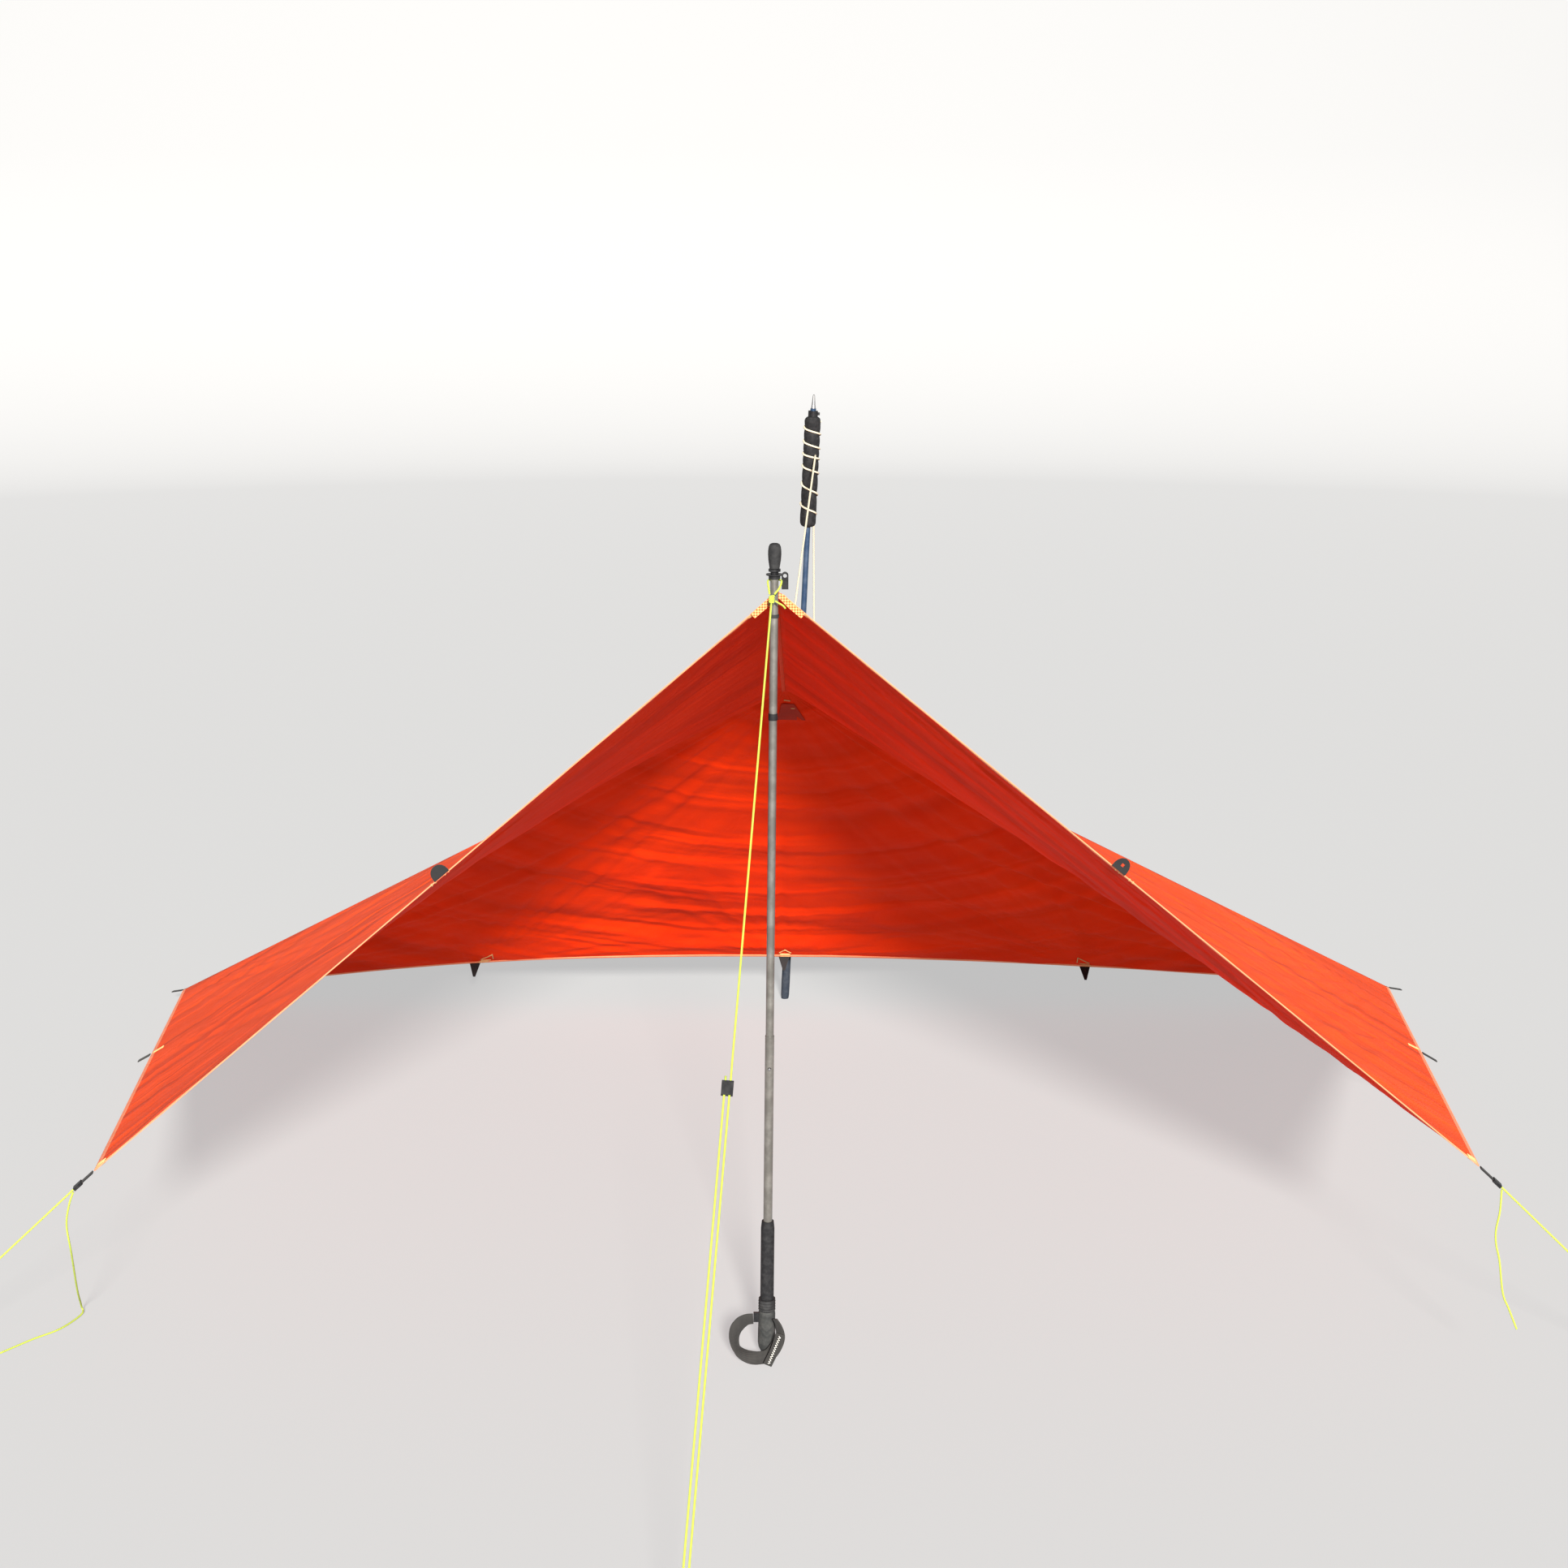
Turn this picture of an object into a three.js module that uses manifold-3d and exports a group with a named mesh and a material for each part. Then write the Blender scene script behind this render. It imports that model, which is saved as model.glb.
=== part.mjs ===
// Rectangular tarp shelter pitched on two trekking poles, front edge raised, rear edge near the ground.
// Millimetres, +Z up, +X to the right seen from the front, front faces -Y, origin under the front pole.
import * as THREE from 'three';
import { mergeVertices } from 'three/addons/utils/BufferGeometryUtils.js';
import Module from 'manifold-3d';

const wasm = await Module();
wasm.setup();

// ---------- driving dimensions ----------
const GAP = 0.3;
const CLOTH = 3.0;
const PANEL_SHIFT = 0.25;
const PEAK = [19, 14, 1228];
const RIDGE_END = [30, 763, 924];
const FRONT_LEFT = [-1022, -75, 352];
const FRONT_RIGHT = [1078, -100, 370];
const BACK_LEFT = [-1330, 1700, 36];
const BACK_LEFT_MID = [-668, 1690, 104];
const BACK_CENTRE = [28, 1680, 122];
const BACK_RIGHT_MID = [705, 1685, 98];
const BACK_RIGHT = [1392, 1690, 45];
const LEFT_SLACK = 0.35;
const RIGHT_SLACK = 0.8;
const ROOF_STEPS = 14;

const FRONT_LEAN = Math.atan(14 / 1250);
const SHAFT_R = 6.2;
const SHAFT_BORE_R = 5.4;
const GRIP_TUBE_R = 7.0;
const GRIP_TUBE_BORE_R = 6.5;
const GRIP_TUBE_TOP = 542;
const MID_TUBE_END = 255;
const JOINT_AT = 1043;
const COLLAR_AT = 1249.6;
const BUTTON_AT = 490;
const BUTTON_R = 2.4;

const REAR_FOOT = [30, 1750, 0];
const REAR_LEAN = Math.atan(62.5 / 1368);
const REAR_SHAFT_R = 6.25;
const SLEEVE_R = 15;
const SLEEVE_FROM = 1083;
const SLEEVE_TO = 1320;

const CORD_R = 1.5;
const ROPE_R = 2.0;
const LOOP_R = 14;
const TENSIONER_ALONG = 0.47;
const FRONT_LOOP = [-104, -1040, 1.6];
const LEFT_LOOP = [-1420, -150, 1.6];
const RIGHT_LOOP = [1480, -160, 1.6];
const REAR_LOOP = [106, 2290, 2.1];

const COLOUR = {
  cloth: 0xe8502a,
  webbing: 0x24262a,
  webbingRed: 0x8f1f10,
  cord: 0xe2f26a,
  rope: 0xe9e2c4,
  grey: 0x84807a,
  black: 0x26282a,
  rubber: 0x3a3b3c,
  foam: 0x3e4042,
  blue: 0x2f4c78,
  steel: 0xa8abb0,
};

// ---------- small helpers ----------
const vec = (p) => new THREE.Vector3(p[0], p[1], p[2]);
const mix = (a, b, t) => a.map((value, i) => value + (b[i] - value) * t);
const plus = (a, b) => a.map((value, i) => value + b[i]);

function toSolid(geometry) {
  const bare = geometry.clone();
  bare.deleteAttribute('normal');
  bare.deleteAttribute('uv');
  const merged = mergeVertices(bare, 1e-4);
  return new wasm.Manifold(new wasm.Mesh({
    numProp: 3,
    vertProperties: new Float32Array(merged.attributes.position.array),
    triVerts: new Uint32Array(merged.index.array),
  }));
}

function fromSolid(solid) {
  const mesh = solid.getMesh();
  const geometry = new THREE.BufferGeometry();
  geometry.setAttribute('position', new THREE.BufferAttribute(new Float32Array(mesh.vertProperties), 3));
  geometry.setIndex(new THREE.BufferAttribute(new Uint32Array(mesh.triVerts), 1));
  geometry.computeVertexNormals();
  return geometry;
}

function subtract(geometry, ...cutters) {
  let solid = toSolid(geometry);
  for (const cutter of cutters) {
    solid = solid.subtract(toSolid(cutter));
  }
  return fromSolid(solid);
}

function unite(...geometries) {
  let solid = toSolid(geometries[0]);
  for (const other of geometries.slice(1)) {
    solid = solid.add(toSolid(other));
  }
  return fromSolid(solid);
}

// Solid of revolution about Z from a list of [radius, height] points, bottom to top along the outside.
function turned(profile, segments = 28) {
  const points = profile.map(([radius, height]) => new THREE.Vector2(radius, height));
  const geometry = new THREE.LatheGeometry(points, segments);
  geometry.rotateX(Math.PI / 2);
  return geometry;
}

function rod(radius, from, to, segments = 28) {
  return turned([[0, from], [radius, from], [radius, to], [0, to]], segments);
}

function ring(inner, outer, from, to, segments = 28) {
  return turned([[inner, from], [outer, from], [outer, to], [inner, to], [inner, from]], segments);
}

function box(size, centre) {
  const geometry = new THREE.BoxGeometry(size[0], size[1], size[2]);
  geometry.translate(centre[0], centre[1], centre[2]);
  return geometry;
}

// Round tube along a smooth line through points.
function tube(points, radius, steps, sides = 8, tension = 0.5) {
  const outline = new THREE.Shape();
  for (let i = 0; i < sides; i += 1) {
    const angle = (2 * Math.PI * i) / sides;
    const x = radius * Math.cos(angle);
    const y = radius * Math.sin(angle);
    if (i === 0) {
      outline.moveTo(x, y);
    } else {
      outline.lineTo(x, y);
    }
  }
  outline.closePath();
  const path = new THREE.CatmullRomCurve3(points.map(vec), false, 'catmullrom', tension);
  return new THREE.ExtrudeGeometry(outline, { steps, extrudePath: path, curveSegments: 1 });
}

// Flat band swept along points; across is the direction of its width at the start.
function band(points, width, thickness, steps, across) {
  const path = new THREE.CatmullRomCurve3(points.map(vec), false, 'catmullrom', 0.5);
  const side = vec(across).normalize();
  const rings = [];
  for (let i = 0; i <= steps; i += 1) {
    const centre = path.getPointAt(i / steps);
    const along = path.getTangentAt(i / steps);
    const wide = side.clone().addScaledVector(along, -side.dot(along)).normalize();
    const thick = new THREE.Vector3().crossVectors(along, wide);
    rings.push([[-1, -1], [1, -1], [1, 1], [-1, 1]].map(([a, b]) => centre.clone()
      .addScaledVector(wide, a * width / 2)
      .addScaledVector(thick, b * thickness / 2)));
  }
  return loft(rings);
}

// Closed solid through a row of equal rings of points.
function loft(rings) {
  const count = rings[0].length;
  const flat = rings.flat();
  const position = flat.flatMap((p) => [p.x, p.y, p.z]);
  const index = [];
  for (let r = 0; r + 1 < rings.length; r += 1) {
    for (let i = 0; i < count; i += 1) {
      const j = (i + 1) % count;
      const a = r * count + i;
      const b = r * count + j;
      index.push(a, b, b + count, a, b + count, a + count);
    }
  }
  const last = (rings.length - 1) * count;
  for (let i = 1; i + 1 < count; i += 1) {
    index.push(0, i + 1, i);
    index.push(last, last + i, last + i + 1);
  }
  return outward(position, index);
}

// Geometry with every face turned outward.
function outward(position, index) {
  let volume = 0;
  const at = (i) => new THREE.Vector3(position[3 * i], position[3 * i + 1], position[3 * i + 2]);
  for (let t = 0; t < index.length; t += 3) {
    volume += at(index[t]).dot(at(index[t + 1]).cross(at(index[t + 2])));
  }
  if (volume < 0) {
    for (let t = 0; t < index.length; t += 3) {
      [index[t + 1], index[t + 2]] = [index[t + 2], index[t + 1]];
    }
  }
  const geometry = new THREE.BufferGeometry();
  geometry.setAttribute('position', new THREE.Float32BufferAttribute(position, 3));
  geometry.setIndex(index);
  geometry.computeVertexNormals();
  return geometry;
}

const root = new THREE.Group();
root.name = 'tarp_shelter';

function addPart(name, geometry, colour, roughness, metalness = 0) {
  const mesh = new THREE.Mesh(geometry, new THREE.MeshStandardMaterial({ color: colour, roughness, metalness }));
  mesh.name = name;
  root.add(mesh);
}

// ---------- tarp cloth ----------
// Sheet of cloth over a grid of points, thickened upward and downward.
function clothSheet(pointAt, across, down, shift, thickness = CLOTH, lift = 0) {
  const position = [];
  for (const side of [0.5, -0.5]) {
    for (let j = 0; j <= down; j += 1) {
      for (let i = 0; i <= across; i += 1) {
        const p = pointAt(i / across, j / down);
        position.push(p[0] + shift[0], p[1] + shift[1], p[2] + lift + side * thickness);
      }
    }
  }
  const row = across + 1;
  const layer = row * (down + 1);
  const index = [];
  const quad = (a, b, c, d) => index.push(a, b, c, a, c, d);
  for (let j = 0; j < down; j += 1) {
    for (let i = 0; i < across; i += 1) {
      const a = j * row + i;
      quad(a, a + 1, a + row + 1, a + row);
      quad(layer + a, layer + a + row, layer + a + row + 1, layer + a + 1);
    }
  }
  for (let i = 0; i < across; i += 1) {
    const far = down * row + i;
    quad(i, layer + i, layer + i + 1, i + 1);
    quad(far, far + 1, layer + far + 1, layer + far);
  }
  for (let j = 0; j < down; j += 1) {
    const near = j * row;
    const far = near + across;
    quad(near, near + row, layer + near + row, layer + near);
    quad(far, layer + far, layer + far + row, far + row);
  }
  return outward(position, index);
}

// Roof quarter between ridge and side edge; slack lets it fold along the line from ridge end to front corner.
function roofPoint(front, back, slack) {
  return (u, v) => {
    const left = mix(PEAK, RIDGE_END, v);
    const right = mix(front, back, v);
    const flat = mix(left, right, u);
    const twist = PEAK.map((value, i) => value - front[i] - RIDGE_END[i] + back[i]);
    const fold = slack * Math.min(u * v, (1 - u) * (1 - v));
    return flat.map((value, i) => value - twist[i] * fold);
  };
}

const BACK_EDGE = [BACK_LEFT, BACK_LEFT_MID, BACK_CENTRE, BACK_RIGHT_MID, BACK_RIGHT];

function backEdgePoint(s) {
  const along = Math.min(s * 4, 3.999999);
  const span = Math.floor(along);
  return mix(BACK_EDGE[span], BACK_EDGE[span + 1], along - span);
}

function backWallPoint(s, t) {
  return mix(RIDGE_END, backEdgePoint(s), 0.03 + 0.97 * t);
}

addPart('tarp_left_roof', clothSheet(roofPoint(FRONT_LEFT, BACK_LEFT, LEFT_SLACK), ROOF_STEPS, ROOF_STEPS,
  [-PANEL_SHIFT, 0]), COLOUR.cloth, 0.75);
addPart('tarp_right_roof', clothSheet(roofPoint(FRONT_RIGHT, BACK_RIGHT, RIGHT_SLACK), ROOF_STEPS, ROOF_STEPS,
  [PANEL_SHIFT, 0]), COLOUR.cloth, 0.75);
addPart('tarp_back_wall', clothSheet(backWallPoint, 24, 12, [0, PANEL_SHIFT + 0.1]), COLOUR.cloth, 0.75);

// Doubled triangle of cloth under the back wall at the ridge end.
const patchPoint = (s, t) => backWallPoint(0.44 + 0.22 * s, 0.008 + 0.05 * t);
addPart('ridge_patch', clothSheet(patchPoint, 6, 4, [0, PANEL_SHIFT + 0.1], 1.0, -CLOTH / 2 - 1.2),
  COLOUR.webbingRed, 0.8);

// ---------- front pole, built upright and leaned to the right ----------
function lean(geometry) {
  geometry.rotateY(FRONT_LEAN);
  geometry.translate(0, 0, 0.0);
  return geometry;
}

const frontAt = (along) => [Math.sin(FRONT_LEAN) * along, 0, Math.cos(FRONT_LEAN) * along];

function handle() {
  const profile = [[0, -1], [6.6, -1], [7.6, 8], [9.4, 15], [13.2, 22]];
  for (let i = 0; i < 8; i += 1) {
    profile.push([14.2, 25 + i * 6.6], [13.3, 28.4 + i * 6.6]);
  }
  profile.push([13.6, 80], [12.6, 84], [7.3, 84], [7.3, 34], [0, 34]);
  const tilted = lean(turned(profile));
  return subtract(tilted, box([60, 60, 20], [0, 0, -10]));
}

function gripTube() {
  const tubeBody = ring(GRIP_TUBE_BORE_R, GRIP_TUBE_R, 36, GRIP_TUBE_TOP);
  const hole = rod(BUTTON_R + 0.4, 0, 12, 16);
  hole.rotateX(Math.PI / 2);
  hole.translate(0, 0, BUTTON_AT);
  return lean(subtract(tubeBody, hole));
}

function middleTube() {
  const tubeBody = ring(SHAFT_BORE_R, SHAFT_R, MID_TUBE_END, JOINT_AT - GAP / 2);
  const hole = rod(BUTTON_R + 0.4, 0, 12, 16);
  hole.rotateX(Math.PI / 2);
  hole.translate(0, 0, BUTTON_AT);
  return lean(subtract(tubeBody, hole));
}

function lockButton() {
  const body = turned([[0, 7.55], [BUTTON_R, 7.55], [BUTTON_R, 8.4], [BUTTON_R - 0.7, 9.1], [0, 9.3]], 16);
  body.rotateX(Math.PI / 2);
  body.translate(0, 0, BUTTON_AT);
  return lean(body);
}

function texturedCollar() {
  const profile = [[7.3, 84.4], [12.6, 84.4]];
  for (let i = 0; i < 4; i += 1) {
    profile.push([13.6, 86.4 + i * 4.6], [12.9, 88.7 + i * 4.6]);
  }
  profile.push([13.2, 104.2], [7.3, 104.2], [7.3, 84.4]);
  return lean(turned(profile));
}

function tipProtector() {
  const profile = [[6.4, 1264.8], [7.3, 1264.8], [8.0, 1269], [9.2, 1277], [9.8, 1285], [9.7, 1291], [8.9, 1297]];
  profile.push([7.2, 1300.4], [4.6, 1301.8], [0, 1302.2], [0, 1294], [6.4, 1290], [6.4, 1264.8]);
  return lean(turned(profile));
}

function shaftTip() {
  return turned([[0, 1244.5], [5.1, 1244.5], [5.1, 1250], [5.9, 1250], [5.9, 1276], [3.6, 1284], [0, 1284]]);
}

addPart('handle', handle(), COLOUR.rubber, 0.8);
addPart('textured_collar', texturedCollar(), COLOUR.black, 0.7);
addPart('grip_extension', lean(turned([[7.3, 104.6], [10.6, 104.6], [10.6, 224], [9.4, 236], [7.3, 236], [7.3, 104.6]])),
  COLOUR.foam, 0.95);
addPart('grip_tube', gripTube(), COLOUR.grey, 0.35, 0.6);
addPart('middle_tube', middleTube(), COLOUR.grey, 0.35, 0.6);
addPart('lock_button', lockButton(), COLOUR.steel, 0.3, 1);
addPart('joint_sleeve', lean(ring(SHAFT_R + GAP, SHAFT_R + 0.9, JOINT_AT - 5, JOINT_AT + 5)), COLOUR.black, 0.5, 0.4);
addPart('upper_tube', lean(ring(SHAFT_BORE_R, SHAFT_R, JOINT_AT + GAP / 2, COLLAR_AT)), COLOUR.grey, 0.35, 0.6);
addPart('shaft_tip', lean(shaftTip()), COLOUR.black, 0.5);
addPart('carbide_tip', lean(turned([[0, 1284.3], [2.4, 1284.3], [2.4, 1288], [1.6, 1289], [0, 1288.4]], 16)),
  COLOUR.steel, 0.3, 1);
addPart('tip_collar', lean(ring(6.3, 8.6, COLLAR_AT + 0.3, 1254.6)), COLOUR.black, 0.6);
addPart('basket_disc', lean(ring(6.3, 12.4, 1254.9, 1256.6)), COLOUR.black, 0.6);
addPart('tip_ring', lean(ring(6.3, 8.9, 1260.4, 1264.2)), COLOUR.black, 0.5);
addPart('tip_protector', tipProtector(), COLOUR.rubber, 0.7);
addPart('shaft_band', lean(ring(SHAFT_R + GAP, SHAFT_R + 1.1, 1192, 1197)), COLOUR.black, 0.6);

// Wrist loop of webbing hanging in front of the handle, held at its top by a wedge.
addPart('strap_wedge', box([9, 4, 16], [-15.5, -16.5, 80]), COLOUR.black, 0.6);
addPart('wrist_strap', band([
  [-21.5, -18.5, 82], [-31, -19.5, 80.5], [-40, -20, 74], [-48.6, -21, 60.8], [-51.2, -22, 44.6], [-46.2, -24, 28],
  [-33.4, -26, 17.3], [-15.5, -27, 13.6], [3.7, -28, 19.7], [16.5, -27, 34.6], [24.2, -25, 51.7], [20.3, -21.5, 66.4],
  [13, -19.5, 78]], 12, 2.4, 48, [0, -1, -0.2]), COLOUR.webbing, 0.9);

// ---------- rear pole, leaned to the right ----------
function leanRear(geometry) {
  geometry.rotateY(REAR_LEAN);
  geometry.translate(REAR_FOOT[0], REAR_FOOT[1], REAR_FOOT[2]);
  return geometry;
}

const rearAt = (along) => [
  REAR_FOOT[0] + Math.sin(REAR_LEAN) * along, REAR_FOOT[1], Math.cos(REAR_LEAN) * along];

function rearGrip() {
  const profile = [[0, -2], [8, -2], [9.2, 8], [9.5, 40], [9.2, 80], [9.5, 120], [9.0, 150]];
  const solid = leanRear(turned([...profile, [6.6, 150], [6.6, 30], [0, 30]]));
  return subtract(solid, box([80, 80, 20], [REAR_FOOT[0], REAR_FOOT[1], -10]));
}

function rearSleeve() {
  const profile = [[6.6, SLEEVE_FROM], [12, SLEEVE_FROM], [SLEEVE_R, SLEEVE_FROM + 5]];
  profile.push([SLEEVE_R, SLEEVE_TO - 4], [13, SLEEVE_TO], [6.6, SLEEVE_TO], [6.6, SLEEVE_FROM]);
  return leanRear(turned(profile));
}

function rearCollar() {
  const body = ring(6.6, 10.5, SLEEVE_TO + 0.4, 1333);
  const nub = box([6, 5, 6], [11.5, 0, 1327]);
  return leanRear(unite(body, nub));
}

addPart('rear_pole_grip', rearGrip(), COLOUR.blue, 0.8);
addPart('rear_pole_shaft', leanRear(rod(REAR_SHAFT_R, 31, 1338)), COLOUR.blue, 0.4, 0.5);
addPart('rear_pole_sleeve', rearSleeve(), COLOUR.foam, 0.95);
addPart('rear_pole_collar', rearCollar(), COLOUR.black, 0.6);
addPart('rear_pole_tip', leanRear(turned([[0, 1338.3], [5.2, 1338.3], [4.2, 1346], [2.2, 1366], [0, 1368]], 20)),
  COLOUR.steel, 0.35, 0.8);

// ---------- webbing and fittings sewn to the tarp ----------
// Small flat plate; faces along normal, long side along up.
function plate(centre, normal, up, width, height, thickness) {
  const geometry = new THREE.BoxGeometry(width, thickness, height);
  const y = vec(normal).normalize();
  const z = vec(up).addScaledVector(y, -vec(up).dot(y)).normalize();
  const x = new THREE.Vector3().crossVectors(y, z);
  geometry.applyMatrix4(new THREE.Matrix4().makeBasis(x, y, z));
  geometry.translate(centre[0], centre[1], centre[2]);
  return geometry;
}

addPart('peak_webbing', band([[-18, 6.6, 1193], [1, 8.0, 1209], [19, 8.6, 1224], [37, 8.0, 1209], [56, 6.2, 1193]],
  9, 1.6, 12, [0, 0, 1]), COLOUR.cloth, 0.8);

// Small stiff tab with a round hole, standing up behind the pole at the peak.
function peakTab() {
  const outline = new THREE.Shape();
  outline.moveTo(-5, 0);
  outline.lineTo(5, 0);
  outline.lineTo(5, 21);
  outline.absarc(0, 21, 5, 0, Math.PI, false);
  outline.closePath();
  const hole = new THREE.Path();
  hole.absarc(0, 20, 2.9, 0, 2 * Math.PI, true);
  outline.holes.push(hole);
  const geometry = new THREE.ExtrudeGeometry(outline, { depth: 2.2, bevelEnabled: false, curveSegments: 10 });
  geometry.rotateX(Math.PI / 2);
  geometry.translate(29.5, 15.2, 1231.5);
  return geometry;
}

addPart('peak_tab', peakTab(), COLOUR.webbing, 0.8);

function frontTab(corner, t, name) {
  const spot = mix(PEAK, corner, t);
  const side = Math.sign(corner[0]);
  const along = [corner[0] - PEAK[0], corner[1] - PEAK[1], corner[2] - PEAK[2]];
  const rise = [side * 0.62, 0, 0.78];
  const centre = plus(spot, [rise[0] * 11.5, -4, rise[2] * 11.5]);
  const geometry = plate(centre, [0, 1, 0], along, 16, 21, 2.2);
  if (side < 0) {
    addPart(name, geometry, COLOUR.webbing, 0.9);
    return;
  }
  addPart(name, subtract(geometry, plate(plus(centre, [1.5, 0, 2]), [0, 1, 0], along, 5, 5, 12)), COLOUR.webbing, 0.9);
}

frontTab(FRONT_LEFT, 0.486, 'front_tab_left');
frontTab(FRONT_RIGHT, 0.488, 'front_tab_right');

function backLoop(spot, name) {
  const outline = new THREE.Shape();
  outline.moveTo(-12, 0);
  outline.lineTo(12, 0);
  outline.lineTo(2.5, -34);
  outline.lineTo(-2.5, -34);
  outline.closePath();
  const geometry = new THREE.ExtrudeGeometry(outline, { depth: 2.4, bevelEnabled: false });
  geometry.rotateX(Math.PI / 2);
  geometry.rotateX(-0.75);
  geometry.translate(spot[0], spot[1] + 4.6, spot[2] - 2.2);
  addPart(name, geometry, COLOUR.webbing, 0.9);
}

backLoop(BACK_LEFT_MID, 'back_loop_left');
backLoop(BACK_CENTRE, 'back_loop_centre');
backLoop(BACK_RIGHT_MID, 'back_loop_right');

// Strap from a tarp corner outward to its line lock.
function cornerStrap(corner, outDirection, length, width, name) {
  const out = vec(outDirection).normalize();
  const start = vec(corner).addScaledVector(out, 3.5);
  const end = vec(corner).addScaledVector(out, 3.5 + length);
  const side = new THREE.Vector3().crossVectors(out, new THREE.Vector3(0, 0, 1)).normalize();
  const middle = start.clone().lerp(end, 0.5);
  addPart(name, band([start.toArray(), middle.toArray(), end.toArray()], width, 2, 2, side.toArray()),
    COLOUR.webbing, 0.9);
  return end;
}

const LEFT_OUT = [LEFT_LOOP[0] - FRONT_LEFT[0], LEFT_LOOP[1] - FRONT_LEFT[1], LEFT_LOOP[2] - FRONT_LEFT[2]];
const RIGHT_OUT = [RIGHT_LOOP[0] - FRONT_RIGHT[0], RIGHT_LOOP[1] - FRONT_RIGHT[1], RIGHT_LOOP[2] - FRONT_RIGHT[2]];
const leftStrapEnd = cornerStrap(FRONT_LEFT, LEFT_OUT, 22, 10, 'front_corner_webbing_left');
const rightStrapEnd = cornerStrap(FRONT_RIGHT, RIGHT_OUT, 26, 10, 'front_corner_webbing_right');
cornerStrap(BACK_LEFT, [-1, 0.35, -0.25], 26, 9, 'back_corner_webbing_left');
cornerStrap(BACK_RIGHT, [1, 0.3, -0.25], 30, 9, 'back_corner_webbing_right');
cornerStrap([-1192, 900, 179], [-0.9, 0, -0.5], 26, 12, 'side_loop_left');
cornerStrap([1251, 880, 190], [0.85, 0, -0.5], 32, 10, 'side_loop_right');

// Line lock: small block with a cross bar slot at its lower end.
function lineLock(end, outDirection, name) {
  const out = vec(outDirection).normalize();
  const centre = end.clone().addScaledVector(out, 8.4);
  addPart(name, plate(centre.toArray(), new THREE.Vector3().crossVectors(out,
    new THREE.Vector3().crossVectors(out, new THREE.Vector3(0, 0, 1))).toArray(), out.toArray(), 12, 15.6, 5),
  COLOUR.black, 0.5);
  return end.clone().addScaledVector(out, 16.8);
}

const leftLockEnd = lineLock(leftStrapEnd, LEFT_OUT, 'line_lock_left');
const rightLockEnd = lineLock(rightStrapEnd, RIGHT_OUT, 'line_lock_right');

// ---------- guylines ----------
function unitTo(from, to) {
  return vec(to).sub(vec(from)).normalize();
}

function ropeLoop(centre, toward, radius, cordRadius) {
  const ringGeometry = new THREE.TorusGeometry(radius, cordRadius, 8, 24);
  ringGeometry.translate(centre[0], centre[1], centre[2]);
  return ringGeometry;
}

// Straight cord from start down to the knot of a ground loop; returns nothing, adds cord, knot and loop.
function groundLine(start, loop, cordRadius, names, colour) {
  const out = unitTo(start, loop);
  const flatOut = new THREE.Vector3(out.x, out.y, 0).normalize();
  const knotAt = vec(loop).addScaledVector(flatOut, -LOOP_R - 2).setZ(loop[2] + 2.4);
  const knot = new THREE.SphereGeometry(4.4, 12, 8);
  knot.scale(1, 1, 0.8);
  knot.translate(knotAt.x, knotAt.y, knotAt.z);
  const direction = unitTo(start, knotAt.toArray());
  const end = knotAt.clone().addScaledVector(direction, -4.9);
  const middle = vec(start).lerp(end, 0.5);
  addPart(names[0], tube([start, middle.toArray(), end.toArray()], cordRadius, 40), colour, 0.8);
  addPart(names[1], unite(knot, ropeLoop(loop, flatOut, LOOP_R, cordRadius)), colour, 0.8);
}

groundLine(leftLockEnd.toArray(), LEFT_LOOP, CORD_R, ['left_guyline', 'left_ground_loop'], COLOUR.cord);
groundLine(rightLockEnd.toArray(), RIGHT_LOOP, CORD_R, ['right_guyline', 'right_ground_loop'], COLOUR.cord);

const leftTailStart = leftLockEnd.clone().add(new THREE.Vector3(0, -5.5, -3));
const rightTailStart = rightLockEnd.clone().add(new THREE.Vector3(0, -5.5, -3));
addPart('left_line_tail', tube([leftTailStart.toArray(), [-1061.7, -85, 299.5], [-1070.9, -75, 261.6],
  [-1074.7, -50, 202.9], [-1104, 58, 90], [-1131, 158, 14], [-1129, 150, 2.6], [-1150, 99, 1.6], [-1184, 62, 1.6],
  [-1221, 15, 1.6]], CORD_R, 64), COLOUR.cord, 0.8);
addPart('right_line_tail', tube([rightTailStart.toArray(), [1110.6, -114, 301.8], [1106.8, -114, 272],
  [1108.7, -114, 248.1], [1115.6, -114, 221.4], [1124.4, -114, 168.4], [1135.6, -114, 141.7], [1150, -114, 108]],
CORD_R, 48), COLOUR.cord, 0.8);

// Front guyline: tied round the pole under the disc, through the tensioner, round the ground loop and back up.
const KNOT_AT = [10, -16, 1222];
const guylineDirection = unitTo(KNOT_AT, FRONT_LOOP);
const tensionerAt = vec(KNOT_AT).lerp(vec(FRONT_LOOP), TENSIONER_ALONG);
const TENSIONER_HALF = 10;
const STRAND_APART = 7;
const alongGuyline = new THREE.Quaternion().setFromUnitVectors(new THREE.Vector3(0, 0, -1), guylineDirection);

function frontKnot() {
  const knot = new THREE.SphereGeometry(4.6, 12, 8);
  knot.scale(1, 0.9, 1.25);
  knot.translate(KNOT_AT[0], KNOT_AT[1], KNOT_AT[2]);
  return knot;
}

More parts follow.
